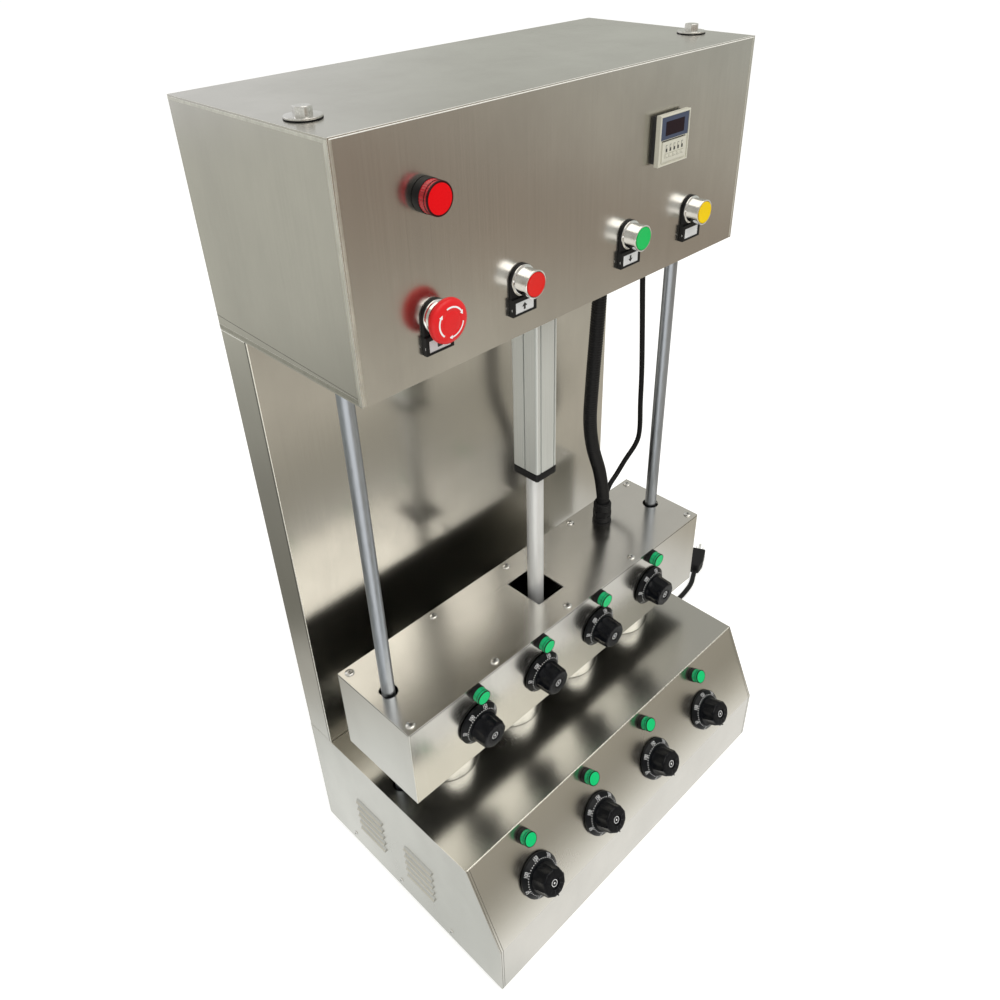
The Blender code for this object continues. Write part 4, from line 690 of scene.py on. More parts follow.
INSIDE = HALF_WIDTH - 0.0008
DECK_LOW = BASE_HEIGHT - 0.0006
# Painted shade darkens the whole deck; painted light makes the slope lighter at its foot and darker
# higher up
DECK_PAINTED_SHADE = (0.46, 0.455, 0.42)
deck_painted_shade = (spot(-INSIDE, 0, DECK_LOW), spot(INSIDE, BODY_DEPTH, BASE_HEIGHT + 0.001),
             DECK_PAINTED_SHADE, DECK_PAINTED_SHADE)
slope_painted_light = (spot(-INSIDE, -0.001, SLOPE_FOOT), spot(INSIDE, SLOPE_SETBACK + 0.001, DECK_LOW),
              (0.86, 0.845, 0.80), (0.53, 0.515, 0.475))

STEEL_TONE = (0.62, 0.605, 0.57)
steel_head = brushed_steel("steel_head", STEEL_TONE, 0.23, stain=0.06)
steel_body = brushed_steel("steel_body", STEEL_TONE, 0.19)
steel_deck = brushed_steel("steel_deck", STEEL_TONE, 0.25, 0.004, (900, 5, 3), relief=0.0,
                           painted_zones=(deck_painted_shade, slope_painted_light))
steel_carriage = brushed_steel("steel_carriage", (0.64, 0.625, 0.59), 0.21, stain=0.03)
steel_ground = grained("steel_ground", (0.70, 0.69, 0.64), 0.36, 1.0, (170, 170, 60), 0.12, 0.06,
                       0.08, detail=5.0)
# Darker steel for the head's lower weld strip: painted shade of the groove along it
steel_dull = grained("steel_dull", (0.45, 0.44, 0.40), 0.34, 1.0, (170, 170, 60), 0.12, 0.06,
                     0.08, detail=5.0)
seam_soft = grained("seam_soft", (0.16, 0.155, 0.135), 0.45, 0.6, (400, 400, 400), 0.2)
seam_dark = grained("seam_dark", (0.045, 0.042, 0.038), 0.45, 0.5, (400, 400, 400), 0.3)
# Near-black for the sheet under the carriage: painted shade of its shadowed underside
liner_dark = grained("liner_dark", (0.022, 0.020, 0.018), 0.60, 0.2, (220, 220, 220), 0.4, 0.1)
# Brighter steel for the folds and bevelled edges: a painted highlight along them
steel_fold = grained("steel_fold", (0.90, 0.88, 0.82), 0.28, 1.0, (260, 260, 260), 0.10, 0.06,
                     0.05)
rod_steel = grained("rod_steel", (0.39, 0.42, 0.47), 0.33, 1.0, (500, 500, 60), 0.10, 0.05, 0.05)
fastener_steel = grained("fastener_steel", (0.70, 0.69, 0.67), 0.20, 1.0, (800, 800, 800), 0.15,
                         0.08, 0.08)
# A pale matte fold for the head's top front edge: a painted highlight along it
bright_fold = grained("bright_fold", (0.96, 0.95, 0.91), 0.35, 0.0, (260, 260, 260), 0.03, 0.03,
                      0.03)
louvre_rise = grained("louvre_rise", (0.63, 0.635, 0.61), 0.42, 0.45, (300, 300, 60), 0.03)
# The bead's lighter, warmer tone than the rise is a painted sheen
louvre_bead = grained("louvre_bead", (0.68, 0.655, 0.58), 0.40, 0.45, (300, 300, 60), 0.03)
blade_metal = grained("blade_metal", (0.97, 0.97, 0.97), 0.45, 1.0, (800, 800, 800), 0.03, 0.05,
                      0.05)
mould_metal = turned_metal("mould_metal", (0.86, 0.85, 0.83), 0.22)
chrome = grained("chrome", (0.86, 0.86, 0.86), 0.09, 1.0, (300, 300, 300), 0.03, 0.03, 0.02)
anodised = grained("anodised_aluminium", (0.70, 0.725, 0.71), 0.38, 0.55, (900, 900, 9), 0.05,
                   0.05, 0.05)
rod_grey = grained("rod_grey", (0.78, 0.79, 0.79), 0.36, 0.35, (600, 600, 40), 0.04, 0.05, 0.03)
BLACK = (0.008, 0.008, 0.009)
black_plastic = grained("black_plastic", BLACK, 0.42, spread=0.25, specular=0.22)
dial_black = grained("dial_black", (0.0034, 0.0040, 0.0062), 0.26, spread=0.10,
                     rough_spread=0.01, bump=0.01, specular=0.17)
skirt_black = grained("skirt_black", (0.004, 0.005, 0.0068), 0.30, spread=0.15,
                      rough_spread=0.02, bump=0.03, specular=0.16)
rubber = grained("rubber", BLACK, 0.55, spread=0.25, bump=0.15, specular=0.22)
hose_black = grained("hose_black", BLACK, 0.42, spread=0.25, bump=0.08, specular=0.22)
white_print = grained("white_print", (0.95, 0.96, 0.98), 0.5, spread=0.02)
card_white = grained("card_white", (0.78, 0.79, 0.80), 0.55, spread=0.03, bump=0.03)
mark_black = grained("mark_black", (0.02, 0.02, 0.022), 0.5)
cream = grained("cream_plastic", (0.66, 0.65, 0.56), 0.42, spread=0.05)
timer_blue = grained("timer_blue", (0.060, 0.078, 0.135), 0.35, spread=0.06, specular=0.25)
timer_window = grained("timer_window", (0.012, 0.003, 0.008), 0.15, spread=0.2, bump=0.01,
                       specular=0.15)
red_gloss = grained("red_gloss", (0.82, 0.010, 0.014), 0.34, spread=0.05, coat=0.06, bump=0.03,
                    specular=0.35)
red_cap = grained("red_cap", (0.78, 0.014, 0.010), 0.40, spread=0.05, bump=0.05, specular=0.25)
green_cap = grained("green_cap", (0.010, 0.56, 0.12), 0.40, spread=0.05, bump=0.05, specular=0.2)
yellow_cap = grained("yellow_cap", (0.95, 0.66, 0.002), 0.40, spread=0.03, bump=0.05,
                     specular=0.12)
red_lens = grained("red_lens", (0.80, 0.002, 0.006), 0.30, spread=0.05, bump=0.02,
                   specular=0.10, glow=0.03)
red_band = grained("red_lens_band", (0.52, 0.020, 0.030), 0.16, scale=(500, 500, 20),
                   spread=0.45, bump=0.05, specular=0.4)
red_rim = grained("red_lens_rim", (0.035, 0.001, 0.002), 0.3, specular=0.2)
green_lens = grained("green_lens", (0.004, 0.60, 0.19), 0.30, spread=0.06, bump=0.02,
                     specular=0.12, glow=0.06)
green_band = grained("green_lens_band", (0.010, 0.46, 0.17), 0.16, scale=(700, 700, 20),
                     spread=0.35, bump=0.05, specular=0.30)
green_rim = grained("green_lens_rim", (0.001, 0.016, 0.008), 0.35, specular=0.2)


def finish_nodes():
    """Finishes on the solids whose shape stays, with their folds and edges softened by a width."""
    kept = {
        (steel_deck, 0.0): ("base_housing",),
        (steel_body, 0.0004): ("base_bottom_plate", "rear_cover"),
        (steel_body, 0.0008): ("column_housing",),
        (steel_head, 0.0015): ("head_housing",),
        (steel_carriage, 0.0006): ("carriage_housing",),
        (steel_carriage, 0.0004): ("carriage_lid",),
        (anodised, 0.0010): ("actuator_gearmotor",),
        (black_plastic, 0.0004): ("base_thermostat_bank", "carriage_thermostat_bank"),
        (black_plastic, 0.0003): ("guide_bushing_left", "guide_bushing_right"),
    }
    for name, material, width in ((name, *look) for look, names in kept.items() for name in names):
        item = nodes[name]
        item.data.materials.clear()
        item.data.materials.append(material)
        if material in (steel_head, steel_body, steel_deck, steel_carriage):
            # The steel's bevels take the brighter steel, a painted highlight along its folds; the
            # lid's take the dark joint colour
            item.data.materials.append(seam_dark if name == "carriage_lid" else steel_fold)
        if not width:
            continue
        item.modifiers.new("weld", "WELD").merge_threshold = 0.00002
        plain = item.modifiers.new("plain", "DECIMATE")
        plain.decimate_type = "DISSOLVE"
        plain.angle_limit = math.radians(0.5)
        bevel = item.modifiers.new("bevel", "BEVEL")
        bevel.width, bevel.segments = width, 2
        bevel.limit_method, bevel.angle_limit = "ANGLE", math.radians(40)
        bevel.harden_normals = True
        bevel.material = len(item.data.materials) - 1


# Rods, bolts, screws, moulds and feet


def guide_rods():
    profile = mm((0, 1.8), (16, 1.8), (16, 23.8), (15.5, 24.8), (8, 24.8), (8, 989.6),
                 (7.4, 990.2), (0, 990.2))
    for side, sign in SIDES:
        turned(f"rod_{side}", profile, 48, rod_steel, "root", "bright_steel",
               (f"guide_rod_{side}",), place=place_at(sign * ROD_X, ROD_SETBACK, 0))


def rod_bolts():
    """Hexagon bolts with chamfered heads, each on a washer and a thin black shim."""
    for (side, sign), start in zip(SIDES, (0.2, 0.55)):
        bm = bmesh.new()
        lathe(bm, mm((4.8, -15), (4.8, 0.2), (15, 0.2), (15, 0.8), (5, 0.8)), paint=1)
        lathe(bm, rounded(mm((5, 0.8), (14.9, 0.8), (14.9, 2.4), (5, 2.7)), 0.0004))
        prism(bm, rounded(circle(0.0080, 6, start), 0.0006, 2, closed=True), 0.0026, 0.0088,
              edge=0.0006)
        lathe(bm, mm((6.4, 8.7), (6.2, 9), (5, 8.9), (0, 8.8)), 32)
        piece(f"rod_bolt_{side}", bm, [fastener_steel, rubber], "root", "bright_steel",
              (f"guide_rod_bolt_{side}",), place=place_at(sign * ROD_X, ROD_SETBACK, HEAD_TOP))


def screw(name, place, body, radius, height):
    """A domed screw with a cross recess, drawn as a dark cross of painted shade."""
    bm = bmesh.new()
    dome = [(radius * x, 0.0004 + (height - 0.0004) * y) for x, y in circle(1, 24)[1:6]]
    lathe(bm, [(0, -0.0002), (radius, 0), (radius, 0.0004), *dome, (0, height)], 24)
    reach = radius * 0.42
    # The cross is a dark mark just proud of the dome: painted shade standing in for the recess
    for angle in (0.4, 0.4 + QUARTER):
        block(bm, (-reach, -0.00045, height * 0.80), (reach, 0.00045, height + 0.00005),
              turn(angle, "Z"), paint=1)
    piece(name, bm, [fastener_steel, mark_black], body, "bright_steel", place=place)


def screws():
    """Screws in the lid, the base's sides and the rear cover."""
    cover = [(x, z) for x in (-0.250, -0.125, 0, 0.125, 0.250) for z in (0.2195, 0.970)]
    cover += [(x, z) for x in (-0.250, 0.250) for z in (0.40, 0.60, 0.78)]
    rows = {
        "lid": ([place_at(x, y, LID_TOP) for x in (-0.2595, -0.1298, 0, 0.1298, 0.2595)
                 for y in (CARRIAGE_FRONT + 0.0098, CARRIAGE_REAR - 0.0092)],
                "carriage", 0.0057, 0.0026),
        "side": ([place_at(x, y, 0.0145, facing)
                  for x, facing in ((-HALF_WIDTH, FACING_LEFT), (HALF_WIDTH, FACING_RIGHT))
                  for y in (0.092, 0.193, 0.294)], "root", 0.0034, 0.0015),
        "cover": ([place_at(x, BODY_DEPTH, z, FACING_BACK) for x, z in cover],
                  "root", 0.0040, 0.0018),
    }
    for kind, (places, body, radius, height) in rows.items():
        for number, place in enumerate(places, start=1):
            screw(f"{kind}_screw_{number}", place, body, radius, height)


def moulds():
    """Cup moulds with polished collars, and the cone moulds whose flanges close on them."""
    cup_floor = RIM_Z - CUP_DEPTH
    deck = BASE_HEIGHT + 0.0003
    cup = [(0, cup_floor - 0.012), (0.040, cup_floor - 0.012), (0.040, deck), (0.048, deck),
           (0.048, RIM_Z), (0.036, RIM_Z), (0.0095, cup_floor), (0, cup_floor)]
    flange = RIM_Z + 0.0006 - CARRIAGE_REST
    tip = flange - CONE_LENGTH
    cone = [(0, 0.0315), (0.012, 0.0315), (0.012, -0.0003), (0.044, -0.0003), (0.044, flange),
            (0.032, flange), (0.006, tip), (0, tip)]
    for number, x in enumerate(MOULD_PLACES, start=1):
        for kind, profile, body, node, height in (("cup", cup, "root", "lower", 0),
                                                  ("cone", cone, "carriage", "upper",
                                                   CARRIAGE_REST)):
            turned(f"{kind}_mould_{number}", rounded(profile, 0.0007), 72, mould_metal, body,
                   "turned_metal", (f"{node}_mould_{number}",),
                   place=place_at(x, ROD_SETBACK, height))


def feet():
    places = [(x, y) for y in (0.032, 0.328) for x in (-0.238, 0.238)]
    for number, (x, y) in enumerate(places, start=1):
        turned(f"foot_pad_{number}", rounded(mm((0, -8), (10.8, -8), (12.3, -0.1), (0, -0.1)),
                                             0.0008),
               32, rubber, "root", "rubber", place=place_at(x, y, 0))


# Actuator


def tube_outline(corners, places, slot=0.0008, depth=0.0022, corner_radius=0.0042):
    """The extrusion's outline, with a slot at each share of each side and rounded corners."""
    outline = []
    for start, end, shares in zip(corners, corners[1:] + corners[:1], places):
        along = (end - start).normalized()
        inward = Vector((-along.y, along.x)) * depth
        outline.append(start)
        for share in shares:
            low, high = (start.lerp(end, share) + along * way for way in (-slot, slot))
            outline += [low, low + inward, high + inward, high]
    soft = []
    for k, point in enumerate(outline):
        if point not in corners:
            soft.append(tuple(point))
            continue
        ends = []
        for beside in (outline[k - 1], outline[(k + 1) % len(outline)]):
            way = beside - point
            cut = corner_radius if way.length > 0.009 else way.length * 0.6
            ends.append(point + way.normalized() * cut)
        soft += arc(ends[0], point, ends[1], 4)
    return soft


def actuator():
    """The lift's extruded body, its moulded end cap and the smooth rod that it drives."""
    place = place_at(0, ROD_SETBACK, 0)
    corners = [Vector(corner) for corner in oblong(0.0165, 0.0195)]
    bm = bmesh.new()
    prism(bm, tube_outline(corners, ((0.20, 0.86), (0.5,), (0.20, 0.80), (0.5,))), 0.5608, 0.9000)
    piece("actuator_tube", bm, anodised, "root", "aluminium", ("actuator_body",), sharp=25,
          place=place)

    bm = bmesh.new()
    half = (0.0175, 0.0205)
    prism(bm, rounded(oblong(*half), 0.0058, 5, closed=True), 0.5518, 0.5605, edge=0.0006)
    prism(bm, rounded(oblong(0.86 * half[0], 0.86 * half[1]), 0.006, 5, closed=True),
          0.5490, 0.5520)
    for x, y in oblong(half[0] - 0.0046, half[1] - 0.0046):
        lathe(bm, rounded(mm((0, 550), (3.4, 550), (3.4, 553), (0, 553)), 0.0004), 16,
              Matrix.Translation((x, y, 0)))
    piece("actuator_cap", bm, black_plastic, "root", "black_plastic", ("actuator_end_cap",),
          place=place)

    shaft = rounded(mm((0, 1.8), (24, 1.8), (24, 5.8), (15, 5.8), (15, 25.8), (10.5, 25.8),
                       (10.5, 331.3), (0, 331.3)), 0.0006)
    turned("actuator_shaft", shaft, 56, rod_grey, "carriage", "aluminium", ("actuator_rod",),
           place=place_at(0, ROD_SETBACK, CARRIAGE_REST))


# Welds, seams, folds and louvres


def head_welds():
    """Ground welds down the head's front corners and along its side's upper and lower edges; the
    lower strip is darker, painted shade of the groove along it.
    """
    fold = 0.0016
    front, behind, back = HEAD_SETBACK, HEAD_SETBACK + fold + 0.0038, COLUMN_FRONT + 0.046
    low, high = HEAD_BOTTOM + fold, HEAD_TOP - fold
    rows = (((front + fold, low), (front + fold, high), (0, 1, 0), 0.0036, 0),
            ((behind, low), (back, low), (0, 0, 1), 0.0046, 1),
            ((behind, HEAD_BOTTOM + 0.0070), (back, HEAD_BOTTOM + 0.0150), (0, 0, 1), 0.0007, 2),
            ((behind, high), (back, high), (0, 0, -1), 0.0026, 0))
    for name, side in SIDES:
        bm = bmesh.new()
        x = side * HALF_WIDTH
        for start, end, across, width, paint in rows:
            strip(bm, spot(x, *start), spot(x, *end), across, width, 0.00018, (side, 0, 0), paint)
        x -= side * fold
        strip(bm, spot(x, front, high), spot(x, front, low), (-side, 0, 0), 0.0022, 0.00022,
              (0, -1, 0))
        piece(f"head_weld_{name}", bm, [steel_ground, steel_dull, seam_soft], "root",
              "stainless")


def seams():
    """Dark joint lines down the column's front corners, and along the flanges that the base's
    sides turn over its front."""
    bm = bmesh.new()
    slanted = (0, -math.cos(SLOPE_LEAN), math.sin(SLOPE_LEAN))
    for side in (-1, 1):
        x, y = side * HALF_WIDTH, COLUMN_FRONT + 0.0020
        strip(bm, spot(x, y, BASE_HEIGHT + 0.001), spot(x, y, HEAD_BOTTOM), (0, 1, 0), 0.0012,
              0.00006, (side, 0, 0))
        for inset in (0.0044, 0.0012):
            x = side * (HALF_WIDTH - inset)
            foot = spot(x, 0, SLOPE_FOOT)
            for start, end, out in ((spot(x, SLOPE_SETBACK, BASE_HEIGHT), foot, slanted),
                                    (foot, spot(x, 0, 0.0010), (0, -1, 0))):
                strip(bm, start, end, (1, 0, 0), 0.0008, 0.00006, out, 1)
    piece("seam_lines", bm, [seam_dark, seam_soft], "root", "black_plastic")


def folds():
    """Folds along the deck's and the head's edges, lighter as a painted highlight, and the sill
    behind the column.
    """
    reach = HALF_WIDTH - 0.0016
    bm = bmesh.new()
    bar(bm, 0.0009, reach,
        place_at(0, SLOPE_SETBACK + 0.00043, BASE_HEIGHT - 0.00067, FACING_RIGHT))
    piece("deck_fold", bm, steel_fold, "root", "stainless")

    bm = bmesh.new()
    bar(bm, 0.0013, reach, place_at(0, HEAD_SETBACK + 0.00122, HEAD_TOP - 0.00122, FACING_RIGHT))
    for side in (-1, 1):
        bar(bm, 0.0016, (HEAD_TOP - HEAD_BOTTOM) / 2 - 0.0016,
            place_at(side * (HALF_WIDTH - 0.0015), HEAD_SETBACK + 0.0015,
                     (HEAD_BOTTOM + HEAD_TOP) / 2), 1)
    piece("head_fold", bm, [bright_fold, steel_ground], "root", "stainless")

    bm = bmesh.new()
    block(bm, spot(-0.2685, BODY_DEPTH - 0.0014, BASE_HEIGHT + 0.0002),
          spot(0.2685, BODY_DEPTH - 0.0002, BASE_HEIGHT + 0.0120), edge=0.0003)
    piece("rear_sill", bm, steel_body, "root", "stainless")


def lid_gap():
    """The dark joint all round under the carriage's lid."""
    bm = bmesh.new()
    height, half = LID_TOP - SHEET - 0.0002, HALF_WIDTH - 0.001
    for x in (-HALF_WIDTH, HALF_WIDTH):
        strip(bm, spot(x, CARRIAGE_FRONT + 0.001, height), spot(x, CARRIAGE_REAR - 0.001, height),
              (0, 0, -1), 0.0009, 0.00008, (x, 0, 0))
    for y, way in ((CARRIAGE_FRONT, -1), (CARRIAGE_REAR, 1)):
        strip(bm, spot(-half, y, height), spot(half, y, height), (0, 0, -1), 0.0009, 0.00008,
              (0, way, 0))
    piece("lid_gap", bm, seam_dark, "carriage", "black_plastic")


def louvres():
    """The faces of the side louvres: a rise out of the sheet, a round bead lighter and warmer as a
    painted sheen, and a dark band at the lip, painted shade of the slit.
    """
    lean = math.atan2(LOUVRE_DEPTH, LOUVRE_HEIGHT)
    sine, cosine = math.sin(lean), math.cos(lean)
    for name, side in SIDES:
        bm = bmesh.new()
        for setback in LOUVRE_SETBACKS:
            for low in (LOUVRE_LOWEST + LOUVRE_PITCH * k for k in range(LOUVRE_COUNT)):
                rows = []
                for share, ends in LOUVRE_ENDS:
                    rows.append([bm.verts.new(spot(
                        side * (HALF_WIDTH + LOUVRE_DEPTH - up * sine + proud * ends * cosine),
                        setback + LOUVRE_LENGTH * share,
                        low + up * cosine + proud * ends * sine)) for up, proud in LOUVRE_SECTION])
                for one, two in zip(rows, rows[1:]):
                    for j in range(len(LOUVRE_SECTION) - 1):
                        face = bm.faces.new((one[j], two[j], two[j + 1], one[j + 1])[::-side])
                        # The band at the lip is painted shade of the slit; the bead's tone is a
                        # painted sheen
                        face.material_index = 2 if j == 0 else 1 if j < 6 else 0
        piece(f"louvres_{name}", bm, [louvre_rise, louvre_bead, seam_soft], "root", "stainless")


def carriage_painted_shade():
    """A near-black sheet under the carriage, painted shade of its shadowed underside, cut out round
    its moulds and bushings.
    """
    bm = bmesh.new()
    edges = []
    low, high = CARRIAGE_REST - 0.0009, CARRIAGE_REST - 0.0004
    half = HALF_WIDTH - 0.0006
    loops = [rectangle((-half, CARRIAGE_FRONT + 0.0006), (half, CARRIAGE_REAR - 0.0006))]
    loops += [[(middle + x, ROD_SETBACK + y) for x, y in circle(radius, 40)]
              for middles, radius in ((MOULD_PLACES, 0.0452), ((-ROD_X, ROD_X), 0.0215))
              for middle in middles]
    for loop in loops:
        ring = [bm.verts.new(spot(x, y, high)) for x, y in loop]
        edges += [bm.edges.new((ring[k - 1], ring[k])) for k in range(len(ring))]
    bmesh.ops.triangle_fill(bm, use_beauty=True, use_dissolve=False, edges=edges,
                            normal=(0, 0, 1))
    body = bmesh.ops.extrude_face_region(bm, geom=list(bm.faces))
    bmesh.ops.translate(bm, vec=(0, 0, low - high),
                        verts=[v for v in body["geom"] if isinstance(v, bmesh.types.BMVert)])
    piece("carriage_painted_shade", bm, liner_dark, "carriage", "black_plastic")


# Dials


def glyph_mesh(text, height):
    """Flat outlines of a number, as points and faces round its middle."""
    data = bpy.data.curves.new("glyph", "FONT")
    data.body, data.size, data.align_x, data.resolution_u = text, height / 0.70, "CENTER", 2
    holder = linked("glyph", data)
    mesh = bpy.data.meshes.new_from_object(holder)
    points = [(v.co.x, v.co.y - height / 2) for v in mesh.vertices]
    faces = [tuple(face.vertices) for face in mesh.polygons]
    bpy.data.objects.remove(holder, do_unlink=True)
    bpy.data.curves.remove(data)
    bpy.data.meshes.remove(mesh)
    return points, faces


def on_skirt(angle, radius, proud=0.00012):
    """A point on the dial's cone, a little proud of it."""
    (outer, low), (inner, high) = DIAL_SKIRT
    share = (outer - radius) / (outer - inner)
    slope = Vector((high - low, outer - inner)).normalized()
    reach = radius + proud * slope.x
    return Vector((reach * math.cos(angle), reach * math.sin(angle),
                   low + (high - low) * share + proud * slope.y))


def dial_print(bm, first):
    """The ring of numbers and dots printed on the cone, clockwise from the first one's angle."""
    for k, text in enumerate(DIAL_NUMBERS):
        middle = first - NUMBER_PITCH * k
        points, faces = glyph_mesh(text, NUMBER_HEIGHT)
        placed = [bm.verts.new(on_skirt(middle - x * NUMBER_SQUEEZE / NUMBER_RADIUS,
                                        NUMBER_RADIUS + y)) for x, y in points]
        for face in faces:
            bm.faces.new([placed[corner] for corner in face]).material_index = 1
    steps = DOTS_BETWEEN + 1
    for k in range(steps * (len(DIAL_NUMBERS) - 1) + 1):
        angle = first - NUMBER_PITCH * k / steps
        flat(bm, [on_skirt(angle + x / DOT_RADIUS, DOT_RADIUS + y)
                  for x, y in circle(0.00052 if k % steps else 0.00062, 6)], 1)


def grip_swell(angle, height):
    """Ten shallow flutes that fade out below and above."""
    share = (angle * GRIP_LOBES / math.tau) % 1.0
    flute = math.sin(math.pi * share) ** 0.85
    fade = min(1.0, max(0.0, (height - 0.0105) / 0.004), max(0.0, (0.0312 - height) / 0.0035))
    return 1 - 0.10 * flute * fade


def dial(name, place, first):
    bm = bmesh.new()
    skirt = [*mm((0, -13), (3, -13), (3, 1), (28.5, 1)), *DIAL_SKIRT, *mm((20, 9.8), (19, 9.8))]
    lathe(bm, rounded(skirt, 0.0007), 72)
    lathe(bm, mm((18.8, 9), (19.2, 10.4), (19.2, 12), (18.9, 15), (18.6, 20), (18.3, 25),
                 (18, 28.4), (17.2, 29.8), (15.8, 30.7), (14, 31), (8.6, 30.6)),
          GRIP_LOBES * 10, paint=2, swell=grip_swell)
    lathe(bm, mm((8.6, 30.6), (8.4, 30.9), (7.8, 31), (7.2, 30.9), (7, 30), (0, 30)), 100, paint=2)
    lathe(bm, mm((3.8, 30.05), (4.5, 30.05)), 36, paint=3)
    lathe(bm, mm((0, 30.05), (1.2, 30.05)), 24, paint=3)
    block(bm, (-0.0006, -0.0182, 0.0200), (0.0006, -0.0196, 0.0290), edge=0.0002, paint=2)
    dial_print(bm, first)
    bmesh.ops.remove_doubles(bm, verts=list(bm.verts), dist=0.000002)
    piece(f"{name}_knob", bm, [skirt_black, white_print, dial_black, white_print], name,
          "dial_black", (name,), sharp=28, place=place)


def dials():
    for number, x in enumerate(SLOPE_DIALS, start=1):
        dial(f"base_dial_{number}", slope_place(x, SLOPE_DIAL_DROP), math.radians(238))
    for number, x in enumerate(CARRIAGE_DIALS, start=1):
        dial(f"carriage_dial_{number}", carriage_place(x, DIAL_RISE), math.radians(222))


# Lamps


def lens(bm, radius, collar, low, mid, top, segments, ribs):
    """A lamp on a panel: black collar, ribbed band, dark rim and bright face."""
    def ribbed(angle, height):
        return 1 - 0.02 * (0.5 - 0.5 * math.cos(angle * ribs))

    def band(start, end):
        lathe(bm, [(radius * 0.98, start), (radius * 0.98, end)], segments * 3, paint=1,
              swell=ribbed)

    def turned_part(paint, *profile):
        lathe(bm, [(radius * share, height) for share, height in profile], segments, paint=paint)

    lathe(bm, rounded([(radius * 0.6, 0.0003), (collar, 0.0003), (collar, low),
                       (radius * 0.9, low)], 0.0004), segments)
    band(low - 0.0002, mid)
    turned_part(2, (0.96, mid - 0.0002), (1, mid), (1, mid + 0.0004), (0.985, mid + 0.0005))
    band(mid + 0.0004, top - 0.0010)
    turned_part(2, (0.96, top - 0.0012), (1, top - 0.0010), (1, top - 0.0004), (0.97, top),
                (0.92, top + 0.0001), (0.88, top))
    turned_part(3, (0.885, top), (0.6, top + 0.0001), (0, top + 0.0002))


def pilot_lamps():
    for name, row, body, place, rise in (
            ("slope_lamp", SLOPE_DIALS, "root", slope_place, SLOPE_LAMP_DROP),
            ("carriage_lamp", CARRIAGE_DIALS, "carriage", carriage_place, LAMP_RISE)):
        for number, x in enumerate(row, start=1):
            bm = bmesh.new()
            lens(bm, 0.0095, 0.0098, 0.0060, 0.0112, 0.0151, 40, 20)
            piece(f"{name}_{number}", bm, [black_plastic, green_band, green_rim, green_lens], body,
                  "green_plastic", place=place(x, rise))


def power_lamp():
    bm = bmesh.new()
    lens(bm, 0.0138, 0.0141, 0.0078, 0.0136, 0.0176, 48, 36)
    lathe(bm, mm((8.2, 0.3), (10.6, 0.3), (10.6, -16), (0, -16)), 32)
    piece("power_lamp_head", bm, [black_plastic, red_band, red_rim, red_lens], "root",
          "red_lens", ("power_lamp",), place=head_place(CONTROLS["estop"], POWER_LAMP_RISE))


# Push buttons and the emergency stop

ARROW = mm((0, 3.4), (-3.4, -0.2), (-1.3, -0.2), (-1.3, -3.4), (1.3, -3.4), (1.3, -0.2),
           (3.4, -0.2))
MARKS = {"estop": oblong(0.0028, 0.0028), "red": ARROW, "green": [(-x, -y) for x, y in ARROW]}


def holder(bm, mark):
    """A label holder: a ring round the control's neck, and below it a block with its card."""
    low, high, thick = (-0.0155, -0.0320), (0.0155, -0.0150), 0.0052
    shelf = thick - 0.0008
    prism(bm, circle(0.0150, 48)[:25] + mm((-15, -16), (15, -16)), 0.0003, 0.0030, edge=0.0005)
    block(bm, (*low, 0.0003), (*high, shelf))
    outer = rectangle(low, high)
    soft = [(x * 0.985, (y + 0.0235) * 0.975 - 0.0235) for x, y in outer]
    window = (low[0] + 0.0034, low[1] + 0.0022), (high[0] - 0.0034, high[1] - 0.0038)
    inner = rectangle(*window)
    join(bm, [[bm.verts.new((x, y, height)) for x, y in ring] for ring, height in (
        (outer, shelf), (outer, thick - 0.0002), (soft, thick), (inner, thick), (inner, shelf))],
        caps=False)
    (left, bottom), (right, top) = window
    block(bm, (left + 0.0001, bottom + 0.0001, thick - 0.0010),
          (right - 0.0001, top - 0.0001, thick - 0.0006), paint=1)
    if mark:
        flat(bm, [(x, y + (bottom + top) / 2, thick - 0.00055) for x, y in mark], 2)
    block(bm, (low[0] - 0.00005, -0.0262, 0.0034), (low[0] + 0.0003, -0.0240, 0.0040), paint=1)


def controls():
    ring = mm((10.6, -16), (10.6, 3), (14.6, 3), (14.6, 4), (13, 4.6), (12.8, 8.5), (13, 16.5),
              (13.3, 18.2), (13.2, 19.3), (12.7, 19.6), (11.9, 19.4), (11.7, 18.6), (11.7, 9),
              (4.4, 9), (4.4, -16), (10.6, -16))
    stop_ring = mm((10.6, -16), (10.6, 3), (14.8, 3), (14.8, 4.2), (13.8, 4.8), (13.6, 7.6),
                   (12.8, 8), (10, 8), (8.4, 8), (8.4, -16), (10.6, -16))
    cap = mm((0, -12), (4, -12), (4, 12.5), (11.4, 12.5), (11.4, 19.2), (11.2, 19.8), (10.7, 20),
             (10, 19.85), (6, 19.7), (0, 19.65))
    for kind in CONTROLS:
        bm = bmesh.new()
        holder(bm, MARKS.get(kind))
        lathe(bm, stop_ring if kind == "estop" else ring, 56, paint=3)
        piece(f"{kind}_control", bm, [black_plastic, card_white, mark_black, chrome], "root",
              "bezel_chrome", (f"control_body_{kind}",), sharp=30, place=control_place(kind))
    for kind, finish in (("red", red_cap), ("green", green_cap), ("yellow", yellow_cap)):
        turned(f"{kind}_button", cap, 56, finish, f"button_cap_{kind}", f"{kind}_plastic",
               (f"button_cap_{kind}",), place=control_place(kind))


STOP_FACE = mm((20, 17.2), (19.7, 18.6), (18.8, 19.8), (17.2, 20.7), (15, 21.3), (12.5, 21.6),
               (10.2, 21.8), (9.8, 21.6), (9.4, 21.8), (7, 22), (0, 22))


def on_stop(radius, angle, proud):
    """A point on the emergency stop's face, a little proud of it."""
    for (outer, low), (inner, high) in zip(STOP_FACE, STOP_FACE[1:]):
        if inner <= radius <= outer:
            height = low + (high - low) * (outer - radius) / (outer - inner)
            return radius * math.cos(angle), radius * math.sin(angle), height + proud


